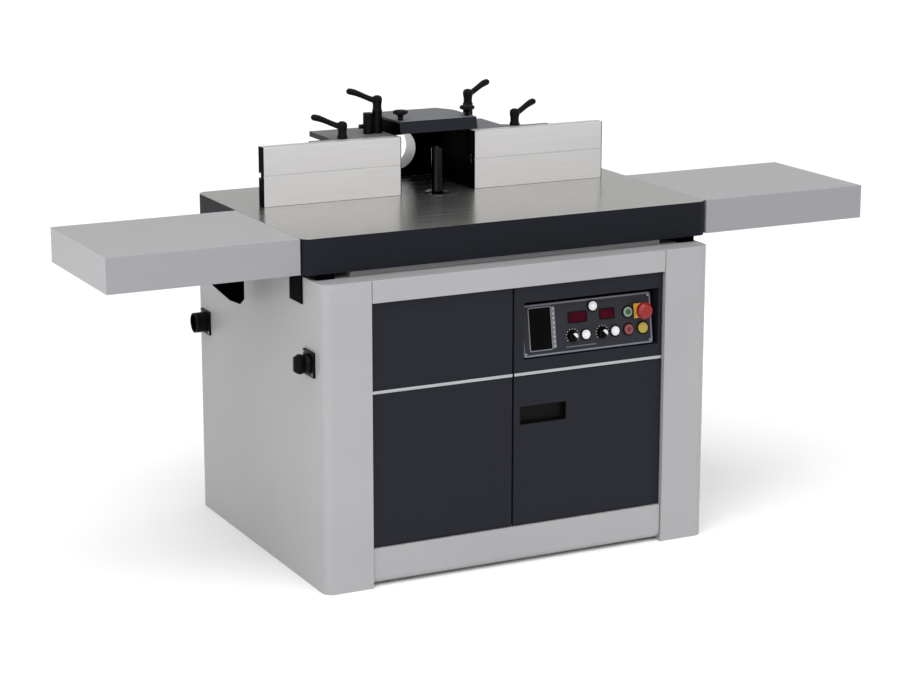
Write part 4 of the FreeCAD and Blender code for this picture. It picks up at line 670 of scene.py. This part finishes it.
def screw_tree():
    """Round heads with a sunk recess, one on each point, facing its outward direction."""
    tree, given = node_tree("Screw heads", {
        "Places": "Geometry",
        "Head radius": "Float",
        "Head height": "Float",
        "Recess share": "Float",
        "Sides": "Int",
        "Finish": "Material",
    })
    depth_share = 0.6
    body = {"Vertices": given["Sides"], "Radius": given["Head radius"], "Depth": given["Head height"]}
    head = added(tree, "GeometryNodeMeshCylinder", body).outputs
    top = {"Mesh": head["Mesh"], "Selection": head["Top"], "Offset Scale": 0}
    inset = added(tree, "GeometryNodeExtrudeMesh", top).outputs
    recess = {"Geometry": inset["Mesh"], "Selection": inset["Top"], "Scale": given["Recess share"]}
    narrowed = added(tree, "GeometryNodeScaleElements", recess)
    depth = added(tree, "ShaderNodeMath", {0: given["Head height"], 1: -depth_share}, operation="MULTIPLY")
    drop = {"Mesh": narrowed, "Selection": inset["Top"], "Offset Scale": depth}
    sunk = added(tree, "GeometryNodeExtrudeMesh", drop)
    outward = added(tree, "GeometryNodeInputNamedAttribute", {"Name": "outward"}, data_type="FLOAT_VECTOR")
    return repeated(tree, given, Points=given["Places"], Instance=sunk, Rotation=facing(tree, outward, "Z"))


MARK_SIZES = ("Mark length", "Mark width", "Mark height")
MARK_INPUTS = {"Count": "Int", **dict.fromkeys(MARK_SIZES, "Float"), "Finish": "Material"}
ARC_SIZES = ("Radius", "Start Angle", "Sweep Angle")


def mark_box(tree, given):
    """The block that a scale repeats."""
    sizes = {axis: given[label] for axis, label in zip("XYZ", MARK_SIZES)}
    return added(tree, "GeometryNodeMeshCube", {"Size": added(tree, "ShaderNodeCombineXYZ", sizes)})


def column_tree():
    """Marks one over the other."""
    tree, given = node_tree("Scale column", {"Pitch": "Float", **MARK_INPUTS})
    step = added(tree, "ShaderNodeCombineXYZ", {"Y": given["Pitch"]})
    line = added(tree, "GeometryNodeMeshLine", {"Count": given["Count"], "Offset": step})
    return repeated(tree, given, Points=line, Instance=mark_box(tree, given))


def dial_tree():
    """Marks round part of a circle, each pointing at the middle."""
    tree, given = node_tree("Scale round a dial", {**dict.fromkeys(ARC_SIZES, "Float"), **MARK_INPUTS})
    sizes = {label: given[label] for label in ARC_SIZES}
    arc = added(tree, "GeometryNodeCurveArc", {"Resolution": given["Count"], **sizes})
    turn = facing(tree, added(tree, "GeometryNodeInputPosition"), "X")
    return repeated(tree, given, Points=arc, Instance=mark_box(tree, given), Rotation=turn)


def grown(name, tree, values, places=None):
    """A plain mesh that a tree makes from named values."""
    piece = shown(name, places or bpy.data.meshes.new(name))
    modifier = piece.modifiers.new("Repeats", "NODES")
    modifier.node_group = tree
    for socket in tree.interface.items_tree:
        if socket.in_out == "INPUT" and socket.name in values:
            modifier[socket.identifier] = values[socket.name]
    settle(piece)
    return piece


def screws(name, places, scale_share=1.0):
    """Screw heads at points, each given with the way that it faces."""
    sizes = settings("screws")
    points = bpy.data.meshes.new(name)
    points.from_pydata([place for place, _ in places], [], [])
    outward = points.attributes.new("outward", "FLOAT_VECTOR", "POINT")
    for stored, (_, way) in zip(outward.data, places):
        stored.vector = way
    tree = bpy.data.node_groups.get("Screw heads") or screw_tree()
    piece = grown(name, tree, {
        "Head radius": sizes.head_radius * scale_share,
        "Head height": sizes.head_height * scale_share,
        "Recess share": sizes.recess_share,
        "Sides": sizes.sides,
        "Finish": MADE_FINISHES["bright_steel"],
    }, points)
    shade(piece)
    placed(piece, "machine")


# Cabinet

class MOULDER_OT_cabinet(Operator):
    """Walls, posts, rail, plinth, deck, back and base of the cabinet."""

    bl_idname = "moulder.cabinet"
    bl_label = "Cabinet"

    def execute(self, context):
        edges = settings("edges")
        soften_each(edges.sheet, "left_side_panel", "right_side_panel", "top_deck", "base_frame")
        softened("back_panel", edges.sheet, seam=edges.recess, seam_axis=1)
        for node in ("front_frame", "kick_panel"):
            softened(node, edges.sheet, seam=edges.seam)
        return {"FINISHED"}


class MOULDER_OT_front_panels(Operator):
    """Dark panels, door with its pull and hinge pins, and the silver strips."""

    bl_idname = "moulder.front_panels"
    bl_label = "Front panels and door"

    def execute(self, context):
        edges = settings("edges")
        soften_each(edges.sheet, "left_front_panel", "control_fascia", "door_panel")
        soften_each(edges.plastic, "door_pull", "trim_strips")
        softened("door_hinge_pins", edges.steel)
        return {"FINISHED"}


# Control panel

def plate_place():
    """Turns across, up and out on the leaning control plate into the machine's frame."""
    faces = frame["nodes"]["control_plate"].data.polygons
    front = max((face for face in faces if face.normal.y < 0), key=lambda face: face.area)
    out = front.normal.normalized()
    across = Vector((1, 0, 0))
    up = out.cross(across)
    corners = corners_of("control_plate")
    origin = across * min(corner.x for corner in corners)
    origin += up * min(corner.dot(up) for corner in corners)
    origin += out * max(corner.dot(out) for corner in corners)
    turn = Matrix((across, up, out)).transposed().to_4x4()
    return Matrix.Translation(origin) @ turn


PLATE = plate_place()


def plate_spans(node):
    """Lowest and highest corner of each loose part of a node, on the plate."""
    shape = bmesh.new()
    shape.from_mesh(merged_copy(node))
    shape.transform(PLATE.inverted())
    left = set(shape.verts)
    spans = []
    while left:
        part = set()
        front = [left.pop()]
        while front:
            vertex = front.pop()
            part.add(vertex)
            near = {edge.other_vert(vertex) for edge in vertex.link_edges} & left
            left -= near
            front += near
        axes = list(zip(*(vertex.co for vertex in part)))
        spans.append((Vector(map(min, axes)), Vector(map(max, axes))))
    shape.free()
    return sorted(spans, key=lambda span: span[0].x)


def round_span(node):
    """Middle, radius, foot and top of a round piece on the plate."""
    low, high = plate_spans(node)[0]
    return ((low + high) / 2).xy, (high.x - low.x) / 2, low.z, high.z


def button_cap(node, finishes, ring_share):
    """A push button with a rounded rim, a dished face and a second colour in the middle."""
    panel = settings("panel")
    middle, radius, foot, top = round_span(node)
    rim_share = 0.1
    rim = radius * rim_share
    dish = radius * panel.dish_share
    floor = (dish - rim / 2, top - rim / 2)
    ring_edge = (dish * ring_share, top - rim / 2)
    round_share = 0.3
    crown_share = 0.4
    wall = [(0, foot), (radius, foot), (radius, top - rim)]
    wall += [(radius - round_share * rim, top - round_share * rim), (radius - rim, top), (dish, top), floor]
    centre = PLATE @ Matrix.Translation(middle.to_3d())
    crown = [ring_edge, (0, top - crown_share * rim)]
    shape = bmesh.new()
    for profile, finish_index in ((wall, 0), ([floor, ring_edge], 0), (crown, len(finishes) - 1)):
        turned(shape, profile, settings("handles").sides, centre, finish_index)
    built_for(node, shape, finishes)


def plate_frames(name, spans, width, stand, corner, slot, finishes=None):
    """Flat frames with round corners that stand on the control plate."""
    shape = bmesh.new()
    wide = Vector((width, width))
    for low, high in spans:
        outer = rounded_loop(low.xy - wide, high.xy + wide, corner + width)
        inner = rounded_loop(low, high, corner)
        levels = ((outer, 0), (outer, stand), (inner, stand), (inner, 0))
        rings = [ring(shape, loop, height, PLATE) for loop, height in levels]
        skinned(shape, [*rings, rings[0]])
    built(name, shape, "machine", slot, finishes)


def plate_pad(name, loop, foot, body, slot, finishes=None):
    """A thin flat pad over the control plate."""
    shape = bmesh.new()
    levels = [ring(shape, loop, foot + rise, PLATE) for rise in (0, settings("panel").trim_stand)]
    skinned(shape, levels)
    for level in levels:
        shape.faces.new(level)
    built(name, shape, body, slot, finishes)


class MOULDER_OT_control_panel(Operator):
    """Leaning plate with its windows, scales, buttons, selectors and emergency stop."""

    bl_idname = "moulder.control_panel"
    bl_label = "Control panel"

    def execute(self, context):
        edges = settings("edges")
        softened("control_plate", edges.plastic)
        window_right = (PLATE @ plate_spans("panel_displays")[0][1]).x
        softened(
            "panel_displays", edges.plastic / 2, ["display_window", "red_display"],
            lambda face: int(face.center.x > window_right + MILLIMETRE),
        )
        softened("switch_bezels", edges.plastic)
        softened("estop_base", edges.plastic, ["amber_plastic"])
        softened("estop_head", edges.casting)
        self.lines()
        self.scales()
        for node in ("mode_button", "height_set_button", "speed_set_button"):
            button_cap(node, ["white_plastic", "mark_print"], ring_share=0.5)
        button_cap("start_button", ["grey_green_plastic", "green_plastic"], ring_share=0.8)
        button_cap("stop_button", ["dull_red_plastic", "deep_red_plastic"], ring_share=0.7)
        button_cap("jog_button", ["yellow_plastic"], ring_share=0.45)
        for node in SELECTORS:
            softened(node, edges.plastic)
            self.pointer(node)
        return {"FINISHED"}

    def lines(self):
        """Border of the plate, frames round its windows and the printed line."""
        panel = settings("panel")
        low, high = plate_spans("control_plate")[0]
        inset = Vector((panel.border_inset, panel.border_inset, 0))
        border = [(low + inset, high - inset)]
        window, *displays = plate_spans("panel_displays")
        printed = ("silver_trim", ["line_print"])
        sizes = (panel.frame_width, panel.frame_stand)
        plate_frames("plate_border", border, panel.border_width, panel.trim_stand, panel.corner, *printed)
        plate_frames("window_frame", [window], *sizes, panel.corner, *printed)
        plate_frames("display_frames", displays, *sizes, panel.corner / 2, "black_plastic")
        start = (panel.legend_start, panel.legend_lift)
        end = (panel.legend_end, panel.legend_lift + panel.legend_width)
        legend = rounded_loop(start, end, panel.legend_width / 2)
        plate_pad("legend_line", legend, 0, "machine", *printed)

    def scales(self):
        """Strip of marks beside the window and the scales round the selectors."""
        panel = settings("panel")
        window = plate_spans("panel_displays")[0]
        left = window[1].x + panel.strip_gap
        low = Vector((left, window[0].y))
        high = Vector((left + panel.strip_width, window[1].y))
        strip = rounded_loop(low, high, panel.corner)
        plate_pad("scale_strip", strip, 0, "machine", "control_plate_paint", ["line_print"])
        marks = {
            "Mark length": panel.mark_length,
            "Mark width": panel.mark_width,
            "Mark height": panel.trim_stand,
            "Finish": MADE_FINISHES["mark_print"],
        }
        pitch = (high.y - low.y) / panel.strip_marks
        column = grown("strip_marks", column_tree(), {**marks, "Count": panel.strip_marks, "Pitch": pitch})
        start = ((low.x + high.x) / 2, low.y + pitch / 2, panel.trim_stand)
        column.data.transform(PLATE @ Matrix.Translation(start))
        placed(column, "machine")
        tree = dial_tree()
        for node in SELECTORS:
            middle, radius, _, _ = round_span(node)
            dial = grown(f"{node}_scale", tree, {
                **marks,
                "Mark length": panel.mark_length / 2,
                "Count": panel.dial_marks,
                "Radius": radius + panel.dial_gap + panel.mark_length / 2,
                "Start Angle": math.pi / 2 - panel.dial_sweep / 2,
                "Sweep Angle": panel.dial_sweep,
            })
            dial.data.transform(PLATE @ Matrix.Translation((*middle, panel.trim_stand / 2)))
            placed(dial, "machine")

    def pointer(self, node):
        """White half disc on the face of a selector."""
        panel = settings("panel")
        middle, radius, _, top = round_span(node)
        steps = settings("handles").sides // 2
        turns = [panel.pointer_turn + math.pi * step / steps for step in range(steps + 1)]
        reach = radius * panel.pointer_share
        edge = [(middle.x + reach * math.cos(turn), middle.y + reach * math.sin(turn)) for turn in turns]
        plate_pad(f"{node}_pointer", edge, top, BODY_OF[node], "white_plastic")


# Wall fittings

def switch_knob(node):
    """The main switch's knob: a round hub under a tapered grip."""
    low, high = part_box(node)
    middle = (low + high) / 2
    radius = (high.z - low.z) / 2
    corners = corners_of(node)
    hub = [corner.x for corner in corners if abs(corner.y - middle.y) > radius / 2]
    half_width = max(abs(corner.y - middle.y) for corner in corners if corner.x < low.x + MERGE_DISTANCE)
    turn = Matrix(((0, 0, -1), (-1, 0, 0), (0, 1, 0))).to_4x4()
    place = Matrix.Translation((max(hub), middle.y, middle.z)) @ turn
    hub_height = max(hub) - min(hub)
    grip_height = min(hub) - low.x
    shape = bmesh.new()
    hub_shares = ((0, 0), (0.95, 0), (1, 0.08), (1, 0.5), (0.86, 0.86), (0.6, 1), (0, 1))
    profile = [(radius * across, hub_height * up) for across, up in hub_shares]
    turned(shape, profile, settings("handles").sides, place)
    grip_shares = ((0.8, 0.9, -0.3), (0.98, 1, 0.2), (0.98, 1, 0.45), (0.74, 0.8, 0.94), (0.66, 0.6, 1))
    round_share = 1 / 3
    rings = []
    for tall, wide, up in grip_shares:
        corner = Vector((half_width * wide, radius * tall))
        loop = rounded_loop(-corner, corner, half_width * round_share)
        rings.append(ring(shape, loop, hub_height + grip_height * up, place))
    skinned(shape, rings)
    shape.faces.new(rings[0])
    shape.faces.new(rings[-1])
    built_for(node, shape)


class MOULDER_OT_wall_fittings(Operator):
    """Main switch and power inlet on the left wall, and the black brackets on both walls."""

    bl_idname = "moulder.wall_fittings"
    bl_label = "Wall fittings"

    def execute(self, context):
        edges = settings("edges")
        soften_each(edges.plastic * 2, "main_switch_plate", "power_inlet")
        switch_knob("main_switch_knob")
        softened("extension_brackets", edges.sheet)
        return {"FINISHED"}


# Table and extensions

class MOULDER_OT_table(Operator):
    """Cast table with a bare machined top, its insert ring and its supports."""

    bl_idname = "moulder.table"
    bl_label = "Table"

    def execute(self, context):
        edges = settings("edges")
        bare_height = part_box("worktable")[1].z - edges.table
        upward_share = 0.3
        softened(
            "worktable", edges.table, ["table_edge_paint", "table_iron"],
            lambda face: int(face.center.z > bare_height and face.normal.z > upward_share),
        )
        softened("insert_ring", edges.steel, ["table_iron"])
        softened("table_supports", edges.casting)
        return {"FINISHED"}


class MOULDER_OT_extensions(Operator):
    """Two alloy table extensions."""

    bl_idname = "moulder.extensions"
    bl_label = "Table extensions"

    def execute(self, context):
        facing_share = 0.7
        # Front and back faces get the darker copy of the alloy: painted shade on the upright faces.
        for hand in HANDS:
            softened(
                f"{hand}_extension", settings("edges").alloy, ["extension_alloy", "extension_edge"],
                lambda face: int(abs(face.normal.y) > facing_share),
            )
        return {"FINISHED"}


# Fence

def hood_outlet():
    """Tells the inside of the round outlet from the rest of the hood: bare alloy, made bright as painted
    light for the light seen through the pipe.
    """
    low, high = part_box("fence_hood")
    rim = [corner for corner in corners_of("fence_hood") if corner.y > high.y - MILLIMETRE]
    middle_z = (min(corner.z for corner in rim) + max(corner.z for corner in rim)) / 2
    middle_x = (low.x + high.x) / 2
    radius = max(corner.x for corner in rim) - middle_x
    facing_share = 0.7

    def inside(face):
        out = Vector((face.center.x - middle_x, face.center.z - middle_z))
        slant = Vector((face.normal.x, face.normal.z))
        near = out.length < radius - MILLIMETRE
        return int(near and abs(face.normal.y) < facing_share and slant.dot(out) < 0)

    return inside


class MOULDER_OT_fence(Operator):
    """Fence plates with capped ends, carriers, hood, roof, pillars and studs."""

    bl_idname = "moulder.fence"
    bl_label = "Fence"

    def execute(self, context):
        edges = settings("edges")
        for hand in HANDS:
            low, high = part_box(f"{hand}_fence_plate")
            caps = (low.x + edges.cap, high.x - edges.cap)
            softened(
                f"{hand}_fence_plate", edges.alloy, ["brushed_alloy", "black_paint"],
                lambda face, caps=caps: int(not caps[0] < face.center.x < caps[1]), caps,
            )
        # The inside of the outlet gets the bright alloy: bare metal, partly painted light standing in for
        # the light seen through the pipe.
        softened("fence_hood", edges.sheet, ["black_paint", "brushed_alloy"], hood_outlet())
        # Painted light and shade: the upward faces of the carriers and the roof get the lighter casting
        # paint and the other faces the dark paint, one paint shown lit on top and shaded on the sides.
        upward_share = 0.6
        for node, width in (("fence_carriers", edges.casting), ("hood_roof", edges.sheet)):
            softened(
                node, width, ["grey_casting", "dark_grey_paint"],
                lambda face: int(face.normal.z < upward_share),
            )
        softened("clamp_pillars", edges.alloy, ["black_plastic"])
        softened("fence_studs", edges.steel)
        return {"FINISHED"}


# Handles

def hub_place(node):
    """Foot of a handle's axis, from the lowest ring of its node, with its radius and height."""
    low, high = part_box(node)
    foot = [corner for corner in corners_of(node) if corner.z < low.z + MILLIMETRE / 2]
    left, right = (pick(corner.x for corner in foot) for pick in (min, max))
    front, back = (pick(corner.y for corner in foot) for pick in (min, max))
    return Vector(((left + right) / 2, (front + back) / 2, low.z)), (right - left) / 2, high.z - low.z


def clamp_lever(node):
    """A cranked clamping lever: waisted hub, rising arm and a rounded grip."""
    sizes = settings("handles")
    foot, radius, rise = hub_place(node)
    ways = [(corner - foot).xy.to_3d() for corner in corners_of(node)]
    reach = max(ways, key=lambda way: way.length)
    end = foot + reach.normalized() * (reach.length - sizes.tip_radius)
    end.z = foot.z + rise - sizes.tip_radius
    hub_share = 0.62
    hub_height = rise * hub_share
    start = foot + Vector((0, 0, hub_height - sizes.root_radius))
    shape = bmesh.new()
    hub_shares = (
        (0, 0), (0.92, 0), (1, 0.04), (1, 0.14), (0.86, 0.22), (0.86, 0.5), (0.97, 0.68), (1, 0.84),
        (0.93, 0.96), (0.7, 1.05), (0.36, 1.1), (0, 1.12),
    )
    hub = [(radius * across, hub_height * up) for across, up in hub_shares]
    turned(shape, hub, sizes.sides, Matrix.Translation(foot))
    points = []
    radii = []
    straight_share = 0.45
    waist_share = 0.86
    waist_power = 0.7
    for step in range(sizes.arm_steps + 1):
        share = step / sizes.arm_steps
        eased = share * share * (3 - 2 * share)
        point = start.lerp(end, share)
        point.z = start.z + (end.z - start.z) * (eased + (share - eased) * straight_share)
        points.append(point)
        waist = math.sin(math.pi * min(1, share / waist_share)) ** waist_power
        plain = sizes.root_radius + (sizes.tip_radius - sizes.root_radius) * share
        radii.append(plain + (sizes.waist_radius - plain) * waist)
    swept(shape, points, radii, sizes)
    built_for(node, shape)


def roof_knob(node):
    """A mushroom knob: slim stem that flares to a ribbed rim under a low crown."""
    sizes = settings("handles")
    low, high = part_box(node)
    foot, stem_radius, rise = hub_place(node)
    radius = (high.x - low.x) / 2
    stem_shares = ((0, 0), (0.95, 0), (1, 0.03), (1, 0.3), (1.12, 0.4), (1.5, 0.5), (2.1, 0.58))
    profile = [(stem_radius * across, rise * up) for across, up in stem_shares]
    crown_shares = ((0.96, 0.64), (1, 0.68), (1, 0.84), (0.96, 0.9), (0.8, 0.95), (0.45, 0.99), (0, 1))
    profile += [(radius * across, rise * up) for across, up in crown_shares]
    sides_to_rib = 4
    shape = bmesh.new()
    turned(shape, profile, sizes.grip_ribs * sides_to_rib, Matrix.Translation(foot))
    rim_share = 0.99
    for vertex in shape.verts:
        out = (vertex.co - foot).xy
        if out.length > rim_share * radius:
            turn = math.atan2(out.y, out.x)
            drawn = sizes.rib_depth * (1 - math.cos(turn * sizes.grip_ribs)) / 2
            vertex.co.xy -= out.normalized() * drawn
    built_for(node, shape)


class MOULDER_OT_handles(Operator):
    """Four clamping levers and two mushroom knobs."""

    bl_idname = "moulder.handles"
    bl_label = "Levers and knobs"

    def execute(self, context):
        for hand in HANDS:
            clamp_lever(f"{hand}_outer_lever")
            clamp_lever(f"{hand}_inner_lever")
            roof_knob(f"{hand}_roof_knob")
        return {"FINISHED"}


# Spindle and drive

class MOULDER_OT_drive(Operator):
    """Spindle, lift, pulleys, belt, motor and contactor box."""

    bl_idname = "moulder.drive"
    bl_label = "Spindle and drive"

    def execute(self, context):
        edges = settings("edges")
        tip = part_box("spindle_shaft")[1].z - edges.steel
        # The shaft gets the darkened steel, partly painted reflection of the black hood; its top end gets
        # bright steel.
        softened(
            "spindle_shaft", edges.steel, ["dark_steel", "bright_steel"],
            lambda face: int(face.center.z > tip),
        )
        soften_each(edges.steel, "spindle_bearings", "spindle_pulley", "spindle_housing")
        soften_each(edges.steel, "motor_pulley", "lift_rod")
        soften_each(edges.alloy, "guide_bracket", "height_carriage", "lift_actuator", "motor_body")
        soften_each(edges.plastic, "electrics_box", "drive_belt")
        return {"FINISHED"}


# Screws

class MOULDER_OT_screws(Operator):
    """Screw heads on the control plate, the wall fittings and the back panel."""

    bl_idname = "moulder.screws"
    bl_label = "Screws"

    def execute(self, context):
        sizes = settings("screws")
        low, high = plate_spans("control_plate")[0]
        inset = sizes.edge_inset * sizes.small_share
        out = PLATE.to_3x3() @ Vector((0, 0, 1))
        corners = [(x, y) for x in (low.x + inset, high.x - inset) for y in (low.y + inset, high.y - inset)]
        screws("plate_screws", [(PLATE @ Vector((x, y, 0)), out) for x, y in corners], sizes.small_share)
        for node in ("main_switch_plate", "power_inlet"):
            screws(f"{node}_screws", self.wall_corners(node, sizes.edge_inset / 2), sizes.small_share)
        screws("back_screws", self.back_edge(sizes))
        return {"FINISHED"}

    def wall_corners(self, node, inset):
        """Corners of a square fitting on the left wall."""
        low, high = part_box(node)
        plate = min(corner.x for corner in corners_of(node) if corner.y < low.y + MERGE_DISTANCE)
        return [
            (Vector((plate, y, z)), Vector((-1, 0, 0)))
            for y in (low.y + inset, high.y - inset)
            for z in (low.z + inset, high.z - inset)
        ]

    def back_edge(self, sizes):
        """Places down both sides of the back panel."""
        low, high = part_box("back_panel")
        face = high.y - settings("edges").recess
        bottom = low.z + sizes.edge_inset
        pitch = (high.z - sizes.edge_inset - bottom) / (sizes.back_rows - 1)
        return [
            (Vector((x, face, bottom + pitch * row)), Vector((0, 1, 0)))
            for x in (low.x + sizes.edge_inset, high.x - sizes.edge_inset)
            for row in range(sizes.back_rows)
        ]


# Stage

class MOULDER_OT_stage(Operator):
    """Pale floor, soft light and the camera."""

    bl_idname = "moulder.stage"
    bl_label = "Stage"

    def execute(self, context):
        stage = settings("stage")
        self.floor(stage.floor_reach)
        world = bpy.data.worlds.new("Studio")
        world.use_nodes = True
        self.surround(world.node_tree, stage)
        context.scene.world = world
        context.scene.view_settings.view_transform = "Standard"
        target = Vector(stage.target)
        sun = bpy.data.lights.new("Broad light", "SUN")
        place = target + self.way(stage.sun_azimuth, stage.sun_elevation)
        self.aimed(sun, place, target, energy=stage.sun, angle=stage.sun_spread)
        box = bpy.data.lights.new("Softbox", "AREA")
        place = Vector(stage.softbox_place)
        self.aimed(box, place, target, energy=stage.softbox, size=stage.softbox_size)
        camera = bpy.data.cameras.new("Camera")
        place = target + stage.distance * self.way(stage.azimuth, stage.elevation)
        optics = {"lens": stage.lens, "sensor_width": stage.sensor, "clip_end": stage.view_reach}
        context.scene.camera = self.aimed(camera, place, target, **optics)
        return {"FINISHED"}

    def surround(self, tree, stage):
        """Even light all round that weakens behind the machine, over the horizon."""
        fade_shares = {"Y": (0.3, 0.85), "Z": (0.14, 0.22)}
        even = tree.nodes["Background"]
        even.inputs["Color"].default_value = (1, 1, 1, 1)
        place = added(tree, "ShaderNodeTexCoord").outputs["Generated"]
        way = added(tree, "ShaderNodeSeparateXYZ", {"Vector": place}).outputs
        back, up = (ranged(tree, way[axis], 0, 1, shares) for axis, shares in fade_shares.items())
        weakened = added(tree, "ShaderNodeMath", {0: back, 1: up}, operation="MULTIPLY")
        strength = ranged(tree, weakened, stage.world, stage.behind, (0, 1))
        tree.links.new(strength.outputs["Result"], even.inputs["Strength"])

    def floor(self, reach):
        """One large plain sheet under the machine."""
        mesh = bpy.data.meshes.new("studio_floor")
        corners = [(-reach, -reach, 0), (reach, -reach, 0), (reach, reach, 0), (-reach, reach, 0)]
        mesh.from_pydata(corners, [], [range(len(corners))])
        mesh.materials.append(MADE_FINISHES["studio_floor"])
        shown("studio_floor", mesh)

    def way(self, azimuth, elevation):
        """Direction to a point at these angles, seen from the machine."""
        level = math.cos(elevation)
        return Vector((level * math.sin(azimuth), -level * math.cos(azimuth), math.sin(elevation)))

    def aimed(self, data, place, target, **options):
        """A light or camera with its options, at a place and turned towards the target."""
        for name, option in options.items():
            setattr(data, name, option)
        holder = shown(data.name, data)
        holder.location = place
        holder.rotation_euler = (target - place).to_track_quat("-Z", "Y").to_euler()
        return holder


OPERATORS = (
    MOULDER_OT_finishes,
    MOULDER_OT_cabinet,
    MOULDER_OT_front_panels,
    MOULDER_OT_control_panel,
    MOULDER_OT_wall_fittings,
    MOULDER_OT_table,
    MOULDER_OT_extensions,
    MOULDER_OT_fence,
    MOULDER_OT_handles,
    MOULDER_OT_drive,
    MOULDER_OT_screws,
    MOULDER_OT_stage,
)


class MOULDER_PT_sidebar(Panel):
    """Lists the steps that dress the machine."""

    bl_idname = "MOULDER_PT_sidebar"
    bl_label = "Spindle moulder"
    bl_space_type = "VIEW_3D"
    bl_region_type = "UI"
    bl_category = "Spindle moulder"

    def draw(self, context):
        for operator in OPERATORS:
            self.layout.operator(operator.bl_idname)


def register():
    for kind in (*SETTINGS.values(), *OPERATORS, MOULDER_PT_sidebar):
        bpy.utils.register_class(kind)
    for name, kind in SETTINGS.items():
        setattr(bpy.types.Scene, name, PointerProperty(type=kind))


def unregister():
    for name in SETTINGS:
        delattr(bpy.types.Scene, name)
    for kind in (MOULDER_PT_sidebar, *reversed(OPERATORS), *SETTINGS.values()):
        bpy.utils.unregister_class(kind)


def main():
    """Dresses the machine step by step."""
    register()
    for operator in OPERATORS:
        group, name = operator.bl_idname.split(".")
        getattr(getattr(bpy.ops, group), name)()


if __name__ == "__main__":
    main()
